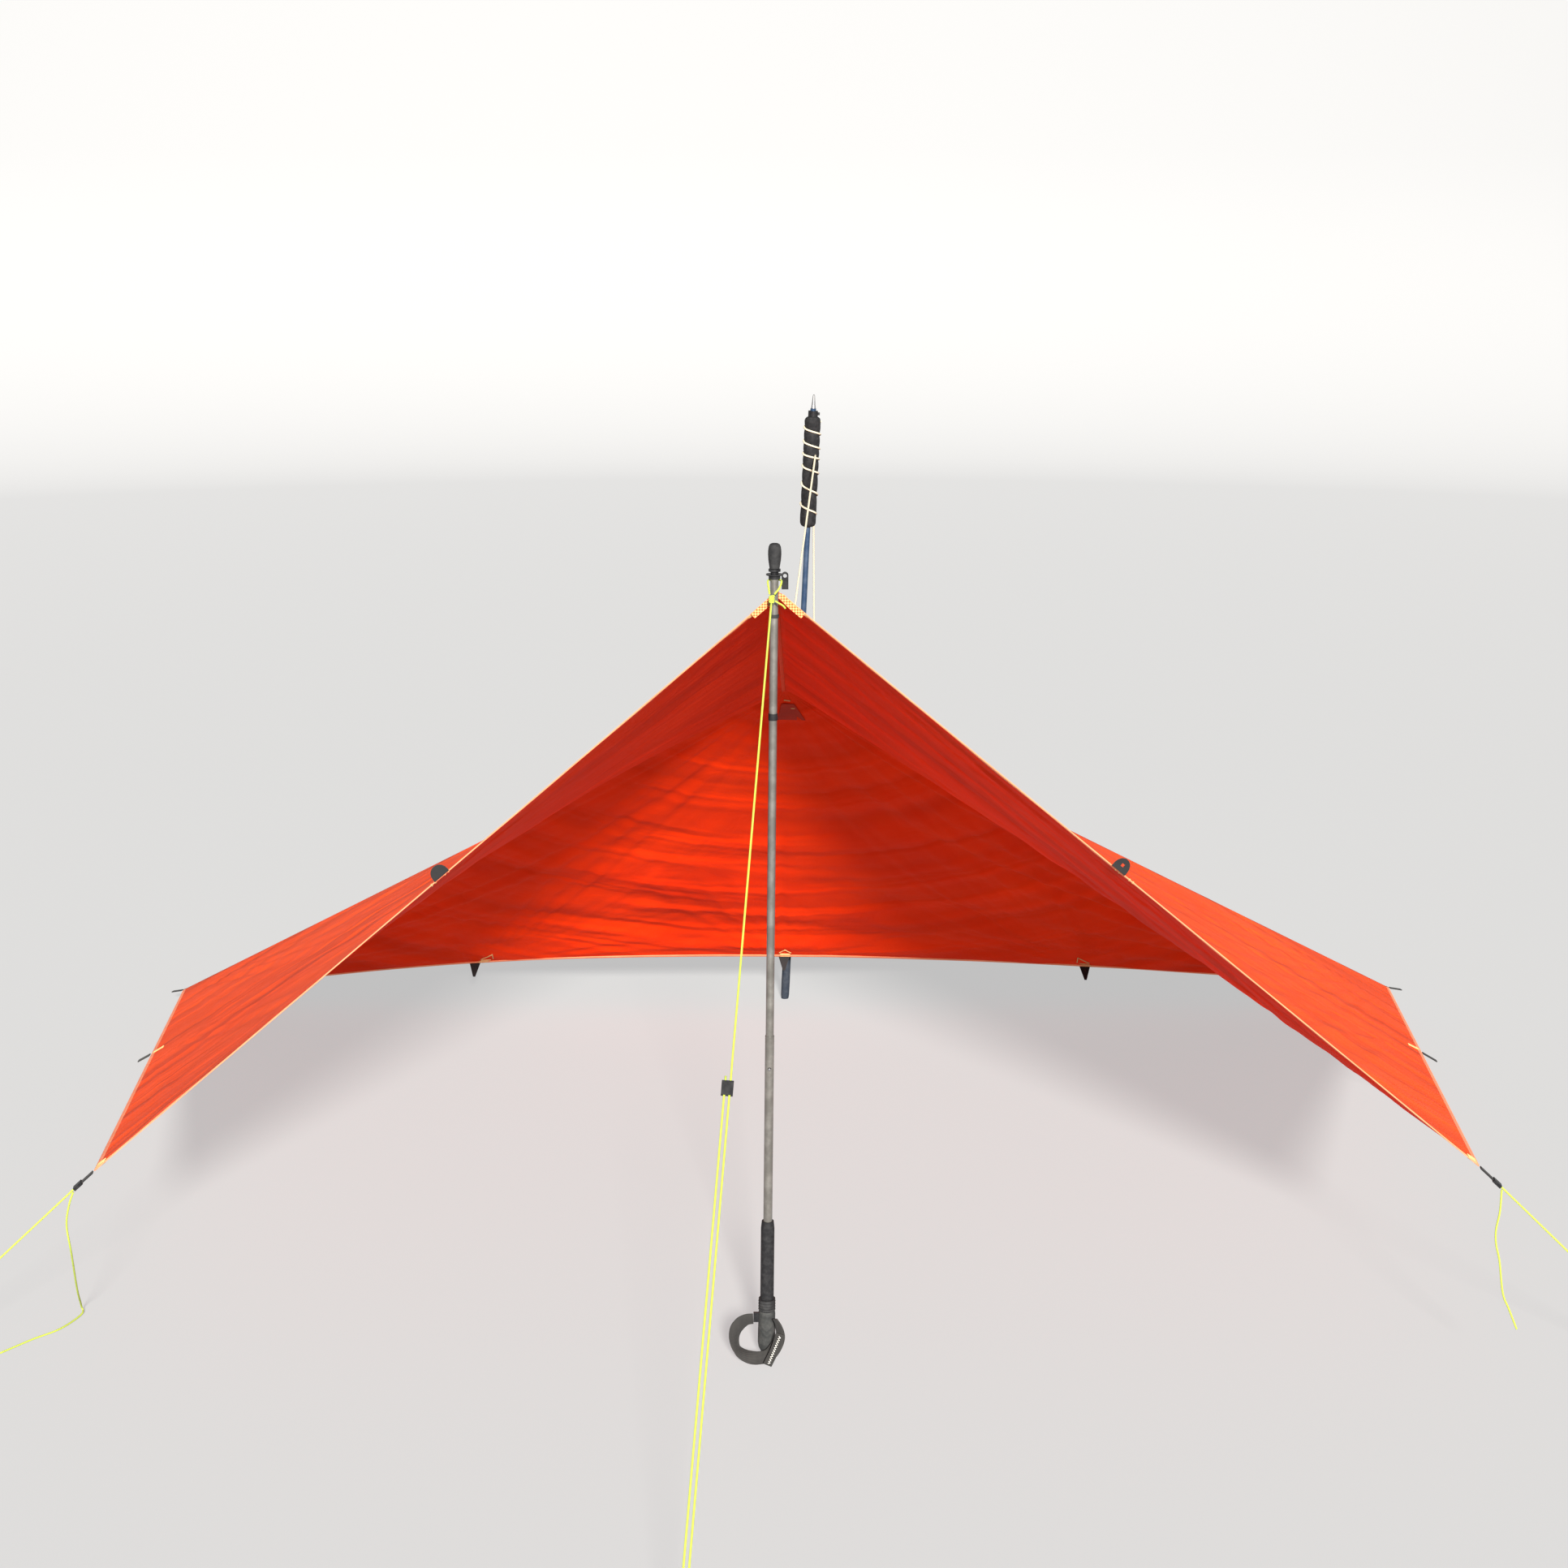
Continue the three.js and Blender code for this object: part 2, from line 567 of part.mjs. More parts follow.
addPart('front_guyline_knot', frontKnot(), COLOUR.cord, 0.8);
addPart('front_guyline_collar_loop', tube([[7, -14, 1228.6], [5.6, -11.5, 1238], [4.4, -4, 1246], [7.5, 9, 1247],
  [15, 11.5, 1247], [22.6, 6, 1246.5], [24.4, -3, 1245], [21, -11, 1237], [14, -14.5, 1228.6]], CORD_R, 44),
COLOUR.cord, 0.8);
addPart('front_guyline_tail', tube([[15.2, -17.5, 1219.6], [21, -18, 1216], [26.5, -17, 1212.5], [30, -15, 1208]],
  CORD_R * 0.9, 10), COLOUR.cord, 0.8);

const guylineTop = vec(KNOT_AT).addScaledVector(guylineDirection, 6.6);
const guylineEnd = vec(KNOT_AT).lerp(vec(FRONT_LOOP), 0.98);
const straight = (from, to) => [from.toArray(), from.clone().lerp(to, 0.5).toArray(), to.toArray()];
addPart('front_guyline_upper', tube(straight(guylineTop, guylineEnd), CORD_R, 60), COLOUR.cord, 0.8);

const beside = (point) => point.clone().add(new THREE.Vector3(-STRAND_APART, 0, 0));
const returnTop = beside(tensionerAt.clone().addScaledVector(guylineDirection, -TENSIONER_HALF - 7));
addPart('front_guyline_lower', tube(straight(returnTop, beside(guylineEnd)), CORD_R, 40), COLOUR.cord, 0.8);

// Small flat block with a hole for each strand.
function tensioner() {
  const holes = [0, -STRAND_APART].map((across) => {
    const hole = rod(CORD_R + 0.6, -20, 20, 16);
    hole.applyQuaternion(alongGuyline);
    hole.translate(tensionerAt.x + across, tensionerAt.y, tensionerAt.z);
    return hole;
  });
  const body = new THREE.BoxGeometry(16, 6.4, 2 * TENSIONER_HALF);
  body.applyQuaternion(alongGuyline);
  body.translate(tensionerAt.x - STRAND_APART / 2, tensionerAt.y, tensionerAt.z);
  return subtract(body, ...holes);
}

addPart('guyline_tensioner', tensioner(), COLOUR.black, 0.5);

// Bend of the line on the ground, where the two strands meet.
function frontGroundLoop() {
  const from = guylineEnd.clone().addScaledVector(guylineDirection, 0.5);
  const [x, y, z] = FRONT_LOOP;
  return tube([from.toArray(), [x + 2, y + 7, 11], [x + 5, y - 4, 2.2], [x + 3, y - 12, 1.6], [x - 3.5, y - 15, z],
    [x - 10, y - 12, 1.6], [x - 12, y - 4, 2.2], [x - 9, y + 7, 11], beside(from).toArray()], CORD_R, 36);
}

addPart('front_ground_loop', frontGroundLoop(), COLOUR.cord, 0.8);

// ---------- rope on the rear pole ----------
// Spiral of rope round the sleeve, its turns spaced wider lower down.
function ropeSpiral() {
  const heights = [1311, 1283, 1252, 1230, 1199, 1153, 1111];
  const radius = SLEEVE_R + ROPE_R + 0.9;
  const points = [];
  const perTurn = 8;
  for (let turn = 0; turn + 1 < heights.length; turn += 1) {
    for (let i = 0; i < perTurn; i += 1) {
      const angle = (2 * Math.PI * i) / perTurn;
      const along = heights[turn] + (heights[turn + 1] - heights[turn]) * (i / perTurn);
      points.push([radius * Math.cos(angle), radius * Math.sin(angle), along]);
    }
  }
  points.push([radius, 0, heights[heights.length - 1]]);
  return leanRear(tube(points, ROPE_R, 140, 8));
}

addPart('rear_rope_wrap', ropeSpiral(), COLOUR.rope, 0.85);

const ROPE_EXIT = plus(rearAt(1240), [9, -22, 0]);
const RIDGE_TIE = plus(RIDGE_END, [0, 22, 7]);
addPart('ridge_tie_loop', band([[24, 786, 912], [25, 796, 921], [30, 803, 927], [35, 796, 921], [36, 786, 912]], 9, 1.6,
  12, [0, 0.6, -0.8]), COLOUR.webbing, 0.9);
addPart('rear_ridge_rope', tube([ROPE_EXIT, mix(ROPE_EXIT, [30, 812, 935], 0.5), [30, 812, 935]], ROPE_R, 60, 8),
  COLOUR.rope, 0.85);
const REAR_LINE_TOP = plus(rearAt(1262), [4, 22.5, 0]);
groundLine(REAR_LINE_TOP, REAR_LOOP, ROPE_R, ['rear_guyline', 'rear_ground_loop'], COLOUR.rope);

export default root;
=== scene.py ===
"""Looks for the tarp shelter: one creased sheet of coated nylon, webbing, cords and two trekking poles."""
import math

import bmesh
import bpy
import numpy as np
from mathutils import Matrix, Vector


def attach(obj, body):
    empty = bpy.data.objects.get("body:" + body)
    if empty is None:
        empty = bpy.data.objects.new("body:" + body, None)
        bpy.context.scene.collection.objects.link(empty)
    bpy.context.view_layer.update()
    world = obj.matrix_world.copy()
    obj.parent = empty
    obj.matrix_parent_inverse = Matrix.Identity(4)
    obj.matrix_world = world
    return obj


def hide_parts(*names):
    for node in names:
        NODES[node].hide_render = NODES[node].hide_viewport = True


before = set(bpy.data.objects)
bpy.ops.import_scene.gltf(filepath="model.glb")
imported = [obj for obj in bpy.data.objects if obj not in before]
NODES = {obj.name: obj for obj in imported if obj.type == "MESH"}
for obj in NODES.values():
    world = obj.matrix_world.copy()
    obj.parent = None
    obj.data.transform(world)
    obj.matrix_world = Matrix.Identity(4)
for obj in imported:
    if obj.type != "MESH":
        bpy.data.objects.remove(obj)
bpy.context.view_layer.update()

# ---------------------------------------------------------------- camera
LENS = 55.9
SENSOR = 36.0
CAMERA_AT = (0.028, -3.53, 1.82)
PITCH = math.radians(14.0)
camera_data = bpy.data.cameras.new("camera")
camera_data.lens = LENS
camera_data.sensor_width = SENSOR
camera = bpy.data.objects.new("camera", camera_data)
camera.location = CAMERA_AT
camera.rotation_euler = (math.pi / 2 - PITCH, 0.0, 0.0)
bpy.context.collection.objects.link(camera)
bpy.context.scene.camera = camera


# ---------------------------------------------------------------- geometry helpers
def new_object(name, mesh, body, materials=()):
    obj = bpy.data.objects.new(name, mesh)
    bpy.context.collection.objects.link(obj)
    for material in materials:
        mesh.materials.append(material)
    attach(obj, body)
    return obj


def make_mesh(name, points, faces, uvs=None, smooth=True):
    mesh = bpy.data.meshes.new(name)
    mesh.from_pydata([tuple(p) for p in points], [], [tuple(f) for f in faces])
    mesh.update()
    if uvs is not None:
        layer = mesh.uv_layers.new(name="UVMap")
        flat = np.array([uvs[i] for f in faces for i in f], dtype=np.float32).reshape(-1)
        layer.data.foreach_set("uv", flat)
    if smooth:
        mesh.polygons.foreach_set("use_smooth", [True] * len(mesh.polygons))
    return mesh


def unit_rows(rows):
    return rows / np.linalg.norm(rows, axis=1)[:, None]


def tangents(path):
    return unit_rows(np.gradient(path, axis=0))


def distances(path):
    """Length of a path up to each of its points."""
    return np.r_[0, np.cumsum(np.linalg.norm(np.diff(path, axis=0), axis=1))]


def loft_faces(rings, around, capped=True):
    """Quads between closed rings of points, with a flat face over each end."""
    faces = []
    for i in range(rings - 1):
        for k in range(around):
            j = (k + 1) % around
            faces.append((i * around + k, i * around + j, (i + 1) * around + j, (i + 1) * around + k))
    if capped:
        faces.append(tuple(range(around))[::-1])
        faces.append(tuple((rings - 1) * around + k for k in range(around)))
    return faces


def split_sharp(obj, degrees):
    """Keeps edges sharper than the angle crisp on a smooth-shaded piece."""
    obj.modifiers.new("edge", "EDGE_SPLIT").split_angle = math.radians(degrees)


def spline(points, count):
    """Points of a smooth line through the given ones, evenly spaced."""
    p = np.array(points, dtype=float)
    ext = np.vstack([2 * p[0] - p[1], p, 2 * p[-1] - p[-2]])
    dense = []
    for i in range(len(p) - 1):
        a, b, c, d = ext[i:i + 4]
        for t in np.linspace(0, 1, 40, endpoint=False):
            dense.append(0.5 * (2 * b + (c - a) * t + (2 * a - 5 * b + 4 * c - d) * t * t
                                + (3 * b - a - 3 * c + d) * t ** 3))
    dense.append(p[-1])
    dense = np.array(dense)
    step = distances(dense)
    want = np.linspace(0, step[-1], count)
    return np.stack([np.interp(want, step, dense[:, k]) for k in range(3)], axis=1)


def sideways(path):
    """Two directions across a path at each point, turning as little as possible."""
    tangent = tangents(path)
    side = np.array((1.0, 0.0, 0.0) if abs(tangent[0][2]) > 0.9 else (0.0, 0.0, 1.0))
    sides = []
    for t in tangent:
        side = side - t * side.dot(t)
        side = side / np.linalg.norm(side)
        sides.append(side)
    sides = np.array(sides)
    return sides, np.cross(tangent, sides)


def tube_mesh(name, path, radius, around, wobble=0.05):
    """Round tube with five faint lobes that wind along it."""
    path = np.array(path)
    one, two = sideways(path)
    along = distances(path)
    points, faces, uvs = [], [], []
    for i, centre in enumerate(path):
        for k in range(around + 1):
            angle = 2 * math.pi * k / around
            r = radius * (1 + wobble * math.sin(5 * angle + 900 * along[i]))
            points.append(centre + r * (math.cos(angle) * one[i] + math.sin(angle) * two[i]))
            uvs.append((along[i], k / around))
    row = around + 1
    for i in range(len(path) - 1):
        for k in range(around):
            a = i * row + k
            faces.append((a, a + 1, a + row + 1, a + row))
    for base, flip in ((0, True), ((len(path) - 1) * row, False)):
        ring = [base + k for k in range(around)]
        faces.append(tuple(ring[::-1] if flip else ring))
    return weld(make_mesh(name, points, faces, uvs))


def weld(mesh, distance=1e-6):
    bm = bmesh.new()
    bm.from_mesh(mesh)
    bmesh.ops.remove_doubles(bm, verts=bm.verts, dist=distance)
    bmesh.ops.recalc_face_normals(bm, faces=bm.faces)
    bm.to_mesh(mesh)
    bm.free()
    mesh.polygons.foreach_set("use_smooth", [True] * len(mesh.polygons))
    return mesh


def band_mesh(name, path, width, thickness, side):
    """Flat webbing along a path, with rounded edges; side is the direction of its width."""
    path = np.array(path)
    tangent = tangents(path)
    along = distances(path)
    side = np.array(side, dtype=float)
    sides = side if side.ndim == 2 else np.tile(side, (len(path), 1))
    widths = np.broadcast_to(width, len(path))
    edge = 0.25
    outline = [(-1, -edge), (-0.94, -1), (0.94, -1), (1, -edge), (1, edge), (0.94, 1), (-0.94, 1), (-1, edge)]
    points, uvs = [], []
    for i, centre in enumerate(path):
        wide = sides[i] - tangent[i] * sides[i].dot(tangent[i])
        wide /= np.linalg.norm(wide)
        thick = np.cross(tangent[i], wide)
        for a, b in outline:
            points.append(centre + wide * a * widths[i] / 2 + thick * b * thickness / 2)
            uvs.append((along[i], (a + 1) / 2))
    return weld(make_mesh(name, points, loft_faces(len(path), len(outline)), uvs))


# ---------------------------------------------------------------- materials
def material(name):
    mat = bpy.data.materials.new(name)
    mat.use_nodes = True
    return mat, mat.node_tree, mat.node_tree.nodes["Principled BSDF"]


def link(tree, a, b):
    tree.links.new(a, b)


def node(tree, kind, **values):
    made = tree.nodes.new(kind)
    for key, value in values.items():
        setattr(made, key, value)
    return made


def math_node(tree, operation, *values):
    made = node(tree, "ShaderNodeMath", operation=operation)
    for socket, value in zip(made.inputs, values):
        if hasattr(value, "links"):
            link(tree, value, socket)
        else:
            socket.default_value = value
    return made.outputs[0]


def noise(tree, vector, scale, detail=3.0, roughness=0.55, distortion=0.0):
    made = node(tree, "ShaderNodeTexNoise")
    made.inputs["Scale"].default_value = scale
    made.inputs["Detail"].default_value = detail
    made.inputs["Roughness"].default_value = roughness
    made.inputs["Distortion"].default_value = distortion
    link(tree, vector, made.inputs["Vector"])
    return made.outputs["Fac"]


def ramp(tree, value, stops):
    made = node(tree, "ShaderNodeValToRGB")
    elements = made.color_ramp.elements
    while len(elements) < len(stops):
        elements.new(0.5)
    for element, (place, colour) in zip(elements, stops):
        element.position = place
        element.color = (*colour, 1.0) if len(colour) == 3 else colour
    link(tree, value, made.inputs["Fac"])
    return made.outputs["Color"]


def mix_colour(tree, fac, a, b, blend="MIX"):
    made = node(tree, "ShaderNodeMix", data_type="RGBA", blend_type=blend)
    for socket, value in ((made.inputs[0], fac), (made.inputs[6], a), (made.inputs[7], b)):
        if hasattr(value, "links"):
            link(tree, value, socket)
        elif isinstance(value, (int, float)):
            socket.default_value = value
        else:
            socket.default_value = (*value, 1.0)
    return made.outputs[2]


def bump(tree, height, strength, distance, normal=None):
    made = node(tree, "ShaderNodeBump")
    made.inputs["Strength"].default_value = strength
    made.inputs["Distance"].default_value = distance
    link(tree, height, made.inputs["Height"])
    if normal is not None:
        link(tree, normal, made.inputs["Normal"])
    return made.outputs["Normal"]


def object_coords(tree):
    return node(tree, "ShaderNodeTexCoord").outputs["Object"]


def uv_coords(tree):
    return node(tree, "ShaderNodeUVMap", uv_map="UVMap").outputs["UV"]


def split(tree, vector):
    made = node(tree, "ShaderNodeSeparateXYZ")
    link(tree, vector, made.inputs[0])
    return made.outputs


def stripes(tree, value, period, width):
    """1 on thin lines every period, 0 between."""
    phase = math_node(tree, "FRACT", math_node(tree, "DIVIDE", value, period))
    centred = math_node(tree, "ABSOLUTE", math_node(tree, "SUBTRACT", phase, 0.5))
    return math_node(tree, "LESS_THAN", centred, width / 2)


RIPSTOP = 0.008
STITCH_PITCH = 0.0045


def cloth_material(name, colour, deep, through, roughness, glow, crease):
    """Thin coated nylon: fine ripstop grid, faded patches, crumple marks, painted shade along the folds,
    light coming through.
    """
    mat, tree, shader = material(name)
    uv = uv_coords(tree)
    xyz = object_coords(tree)
    u, v, _ = split(tree, uv)
    grid = math_node(tree, "MAXIMUM", stripes(tree, u, RIPSTOP, 0.10), stripes(tree, v, RIPSTOP, 0.10))
    broad = noise(tree, xyz, 2.2, 4.0, 0.6)
    fine = noise(tree, xyz, 21.0, 5.0, 0.6, 0.4)
    crumple = noise(tree, xyz, 7.5, 6.0, 0.62, 1.2)
    faded = ramp(tree, broad, [(0.3, deep), (0.72, colour)])
    dusty = mix_colour(tree, math_node(tree, "MULTIPLY", fine, 0.05), faded, (0.95, 0.32, 0.12))
    lined = mix_colour(tree, math_node(tree, "MULTIPLY", grid, 0.18), dusty, deep)
    link(tree, math_node(tree, "MULTIPLY_ADD", fine, 0.25, roughness - 0.12), shader.inputs["Roughness"])
    shader.inputs["Specular IOR Level"].default_value = 0.03
    stretched = node(tree, "ShaderNodeCombineXYZ")
    link(tree, math_node(tree, "MULTIPLY", u, 0.9), stretched.inputs[0])
    link(tree, math_node(tree, "MULTIPLY", v, 9.0), stretched.inputs[1])
    folds = noise(tree, stretched.outputs[0], 1.0, 2.0, 0.5, 0.35)
    height = math_node(tree, "ADD", math_node(tree, "MULTIPLY", crumple, 0.35 * crease),
                       math_node(tree, "MULTIPLY", folds, 2.4 * crease))
    normal = bump(tree, height, 0.9, 0.020)
    # Painted shade: the base colour is darkened to 0.8 along the same fold noise that bumps the cloth.
    painted_shade = ramp(tree, folds, [(0.32, (0.80, 0.80, 0.80)), (0.55, (1.0, 1.0, 1.0))])
    link(tree, mix_colour(tree, 1.0, lined, painted_shade, "MULTIPLY"), shader.inputs["Base Color"])
    normal = bump(tree, grid, 0.25, 0.0004, normal)
    link(tree, normal, shader.inputs["Normal"])
    thin = node(tree, "ShaderNodeBsdfTranslucent")
    thin.inputs["Color"].default_value = (*through, 1.0)
    link(tree, normal, thin.inputs["Normal"])
    blend = node(tree, "ShaderNodeMixShader")
    blend.inputs[0].default_value = glow
    link(tree, shader.outputs[0], blend.inputs[1])
    link(tree, thin.outputs[0], blend.inputs[2])
    link(tree, blend.outputs[0], tree.nodes["Material Output"].inputs["Surface"])
    return mat


def hem_material(name, colour, thread):
    """Folded hem with two rows of stitches; u runs along it in metres, v across from 0 to 1."""
    mat, tree, shader = material(name)
    u, v, _ = split(tree, uv_coords(tree))
    xyz = object_coords(tree)
    phase = math_node(tree, "FRACT", math_node(tree, "DIVIDE", u, STITCH_PITCH))
    dash = math_node(tree, "GREATER_THAN", phase, 0.3)
    rows = None
    for place in (0.22, 0.78):
        gap = math_node(tree, "ABSOLUTE", math_node(tree, "SUBTRACT", v, place))
        near = math_node(tree, "LESS_THAN", gap, 0.035)
        rows = near if rows is None else math_node(tree, "MAXIMUM", rows, near)
    stitch = math_node(tree, "MULTIPLY", rows, dash)
    mottled = noise(tree, xyz, 30.0, 4.0)
    base = ramp(tree, mottled, [(0.3, tuple(c * 0.78 for c in colour)), (0.7, colour)])
    link(tree, mix_colour(tree, stitch, base, thread), shader.inputs["Base Color"])
    shader.inputs["Roughness"].default_value = 0.6
    shader.inputs["Specular IOR Level"].default_value = 0.08
    pucker = noise(tree, xyz, 75.0, 2.0)
    height = math_node(tree, "ADD", math_node(tree, "MULTIPLY", stitch, 0.5), pucker)
    link(tree, bump(tree, height, 0.5, 0.0015), shader.inputs["Normal"])
    return mat


def cord_material(name, colour, painted_shade, fleck, radius):
    """Braided cord: two spirals of strands crossing, painted shade in the grooves between strands, and a
    darker tracer fleck.
    """
    mat, tree, shader = material(name)
    u, v, _ = split(tree, uv_coords(tree))
    pitch = radius * 5.0
    turns = math_node(tree, "DIVIDE", u, pitch)
    winds = 6 * math.pi
    one, two = (math_node(tree, "SINE", math_node(tree, "MULTIPLY", math_node(tree, way, turns, v), winds))
                for way in ("ADD", "SUBTRACT"))
    weave = math_node(tree, "MAXIMUM", one, two)
    # Painted shade: the darker colour fills the grooves where neither strand spiral rises.
    base = ramp(tree, weave, [(0.1, painted_shade), (0.75, colour)])
    tracer = math_node(tree, "GREATER_THAN", math_node(tree, "MULTIPLY", one, two), 0.86)
    spotted = math_node(tree, "MULTIPLY", tracer, 0.55)
    link(tree, mix_colour(tree, spotted, base, fleck), shader.inputs["Base Color"])
    shader.inputs["Roughness"].default_value = 0.75
    shader.inputs["Sheen Weight"].default_value = 0.04
    shader.inputs["Specular IOR Level"].default_value = 0.1
    link(tree, bump(tree, weave, 0.6, 0.0005), shader.inputs["Normal"])
    return mat


def webbing_material(name, colour, light, period=0.0022):
    """Narrow woven tape: diagonal weave, faint dirt."""
    mat, tree, shader = material(name)
    xyz = object_coords(tree)
    x, _, z = split(tree, xyz)
    turn = 2 * math.pi / period
    a, b = (math_node(tree, "SINE", math_node(tree, "MULTIPLY", math_node(tree, way, x, z), turn))
            for way in ("ADD", "SUBTRACT"))
    weave = math_node(tree, "MULTIPLY_ADD", math_node(tree, "MULTIPLY", a, b), 0.5, 0.5)
    dirt = noise(tree, xyz, 60.0, 4.0)
    base = ramp(tree, weave, [(0.15, colour), (0.9, light)])
    link(tree, mix_colour(tree, math_node(tree, "MULTIPLY", dirt, 0.03), base, (0.30, 0.26, 0.2)),
         shader.inputs["Base Color"])
    shader.inputs["Roughness"].default_value = 0.85
    shader.inputs["Sheen Weight"].default_value = 0.04
    shader.inputs["Specular IOR Level"].default_value = 0.15
    link(tree, bump(tree, weave, 0.5, 0.0004), shader.inputs["Normal"])
    return mat


def plain_material(name, colour, worn, roughness, metallic, scale, depth, spread=0.2, coat=0.0):
    """Solid stuff with slight mottling, wear and a fine surface."""
    mat, tree, shader = material(name)
    xyz = object_coords(tree)
    wear = noise(tree, xyz, scale, 5.0, 0.6)
    link(tree, ramp(tree, wear, [(0.42, colour), (0.78, worn)]), shader.inputs["Base Color"])
    rough = math_node(tree, "MULTIPLY_ADD", wear, spread, roughness - spread / 2)
    link(tree, rough, shader.inputs["Roughness"])
    shader.inputs["Metallic"].default_value = metallic
    shader.inputs["Specular IOR Level"].default_value = 0.5 if metallic else 0.18
    shader.inputs["Coat Weight"].default_value = coat
    link(tree, bump(tree, noise(tree, xyz, scale * 9, 3.0), 0.3, depth), shader.inputs["Normal"])
    return mat


OUTSIDE = cloth_material("cloth_outside", (0.98, 0.115, 0.018), (0.84, 0.080, 0.011), (0.98, 0.07, 0.002),
                         0.5, 0.38, 0.40)
# Inner side: the same cloth made darker and deeper red, painted shade for the inside of the shelter; its
# stronger crease also deepens the painted fold shade.
SHADED_INSIDE = cloth_material("cloth_inside_painted_shade", (0.78, 0.038, 0.0008), (0.56, 0.019, 0.0004), (0.98, 0.05, 0.001),
                        0.6, 0.34, 0.65)
# The hems' pale peach, lighter than the cloth, is painted highlight along the edges.
HEM = hem_material("hem_cloth", (0.80, 0.215, 0.105), (0.84, 0.38, 0.21))
SEAM = hem_material("seam_cloth", (0.62, 0.03, 0.002), (0.75, 0.10, 0.01))
PATCH = hem_material("patch_cloth", (0.30, 0.014, 0.002), (0.50, 0.07, 0.02))
PEACH = webbing_material("peak_trim", (0.42, 0.045, 0.010), (0.66, 0.34, 0.13), 0.008)
# The second colour of each cord is its painted shade in the grooves between strands.
CORD = cord_material("cord_braid", (0.42, 0.51, 0.075), (0.19, 0.235, 0.02), (0.07, 0.09, 0.02), 0.0015)
ROPE = cord_material("rope_braid", (0.62, 0.56, 0.42), (0.30, 0.26, 0.19), (0.07, 0.06, 0.05), 0.002)
WEBBING = webbing_material("webbing_black", (0.004, 0.004, 0.005), (0.016, 0.016, 0.018))
STRAP = webbing_material("webbing_charcoal", (0.007, 0.007, 0.008), (0.030, 0.029, 0.028), 0.003)
THREAD = hem_material("bar_tack_thread", (0.58, 0.34, 0.14), (0.70, 0.50, 0.28))
STITCH = plain_material("stitch_white", (0.55, 0.54, 0.50), (0.75, 0.74, 0.70), 0.8, 0.0, 200.0, 0.0002)
GREY_TUBE = plain_material("tube_grey", (0.115, 0.108, 0.098), (0.20, 0.19, 0.175),
                           0.38, 0.55, 40.0, 0.0001, 0.15, 0.2)
BLUE_TUBE = plain_material("tube_blue", (0.014, 0.038, 0.085), (0.045, 0.075, 0.12),
                           0.4, 0.45, 40.0, 0.0001, 0.15, 0.2)
RUBBER = plain_material("rubber_dark", (0.011, 0.011, 0.012), (0.034, 0.034, 0.034), 0.75, 0.0, 70.0, 0.0005)
GRIP = plain_material("grip_rubber", (0.020, 0.021, 0.021), (0.055, 0.055, 0.052), 0.7, 0.0, 55.0, 0.0005)
FOAM = plain_material("foam_black", (0.007, 0.007, 0.008), (0.022, 0.022, 0.023), 0.8, 0.0, 130.0, 0.0012)
PLASTIC = plain_material("plastic_black", (0.006, 0.006, 0.007), (0.020, 0.020, 0.021),
                         0.45, 0.0, 80.0, 0.0002)
STEEL = plain_material("steel_worn", (0.42, 0.42, 0.43), (0.25, 0.24, 0.23), 0.32, 1.0, 80.0, 0.0002)
REAR_GRIP = plain_material("rear_grip_rubber", (0.012, 0.017, 0.026), (0.035, 0.04, 0.048),
                           0.75, 0.0, 60.0, 0.0006)

# ---------------------------------------------------------------- places, in millimetres
MM = 0.001
FRONT_LEAN = math.atan(14.0 / 1250)
REAR_LEAN = math.atan(62.5 / 1368)
REAR_FOOT = (30.0, 1750.0, 0.0)
CORD_R = 1.5 * MM
ROPE_R = 2.0 * MM
EYE_R = 14.0
KNOT_OUT = 16.0
KNOT_RISE = 2.4
KNOT_HALF = 4.9
STRAP_START = 3.5
LOCK_LENGTH = 16.8
SPIRAL_R = 17.9


def metres(points):
    return [tuple(c * MM for c in p) for p in points]


def unit(a, b):
    d = np.array(b, dtype=float) - np.array(a, dtype=float)
    return d / np.linalg.norm(d)


def rear_at(along, across=0.0, back=0.0):
    x = REAR_FOOT[0] + math.sin(REAR_LEAN) * along + math.cos(REAR_LEAN) * across
    return np.array((x, REAR_FOOT[1] + back, math.cos(REAR_LEAN) * along - math.sin(REAR_LEAN) * across))


PEAK = np.array((19.0, 14.0, 1228.0))
RIDGE_END = np.array((30.0, 763.0, 924.0))
FRONT_LEFT = np.array((-1022.0, -75.0, 352.0))
FRONT_RIGHT = np.array((1078.0, -100.0, 370.0))
BACK_LEFT = np.array((-1330.0, 1700.0, 36.0))
BACK_RIGHT = np.array((1392.0, 1690.0, 45.0))
LEFT_LOOP = np.array((-1420.0, -150.0, 1.6))
RIGHT_LOOP = np.array((1480.0, -160.0, 1.6))
REAR_LOOP = np.array((106.0, 2290.0, 2.1))
FRONT_LOOP = np.array((-104.0, -1040.0, 1.6))
KNOT_AT = np.array((10.0, -16.0, 1222.0))


# ---------------------------------------------------------------- cords
def add_cord(name, route, radius, mat, slot_name, count, nodes, **facts):
    path = spline(route, count)
    obj = new_object(name, tube_mesh(name, path, radius, 10), "shelter", [mat])
    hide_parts(*nodes)


def ground_route(start, loop):
    """Straight run from a start point to the knot of a loop on the ground."""
    out = unit(start, loop)
    flat = np.array((out[0], out[1], 0.0))
    flat /= np.linalg.norm(flat)
    knot = np.array(loop) - flat * KNOT_OUT
    knot[2] = loop[2] + KNOT_RISE
    end = knot - unit(start, knot) * KNOT_HALF
    return [start, (np.array(start) + end) / 2, end]


def lock_end(corner, loop, strap):
    return corner + unit(corner, loop) * (STRAP_START + strap + LOCK_LENGTH)


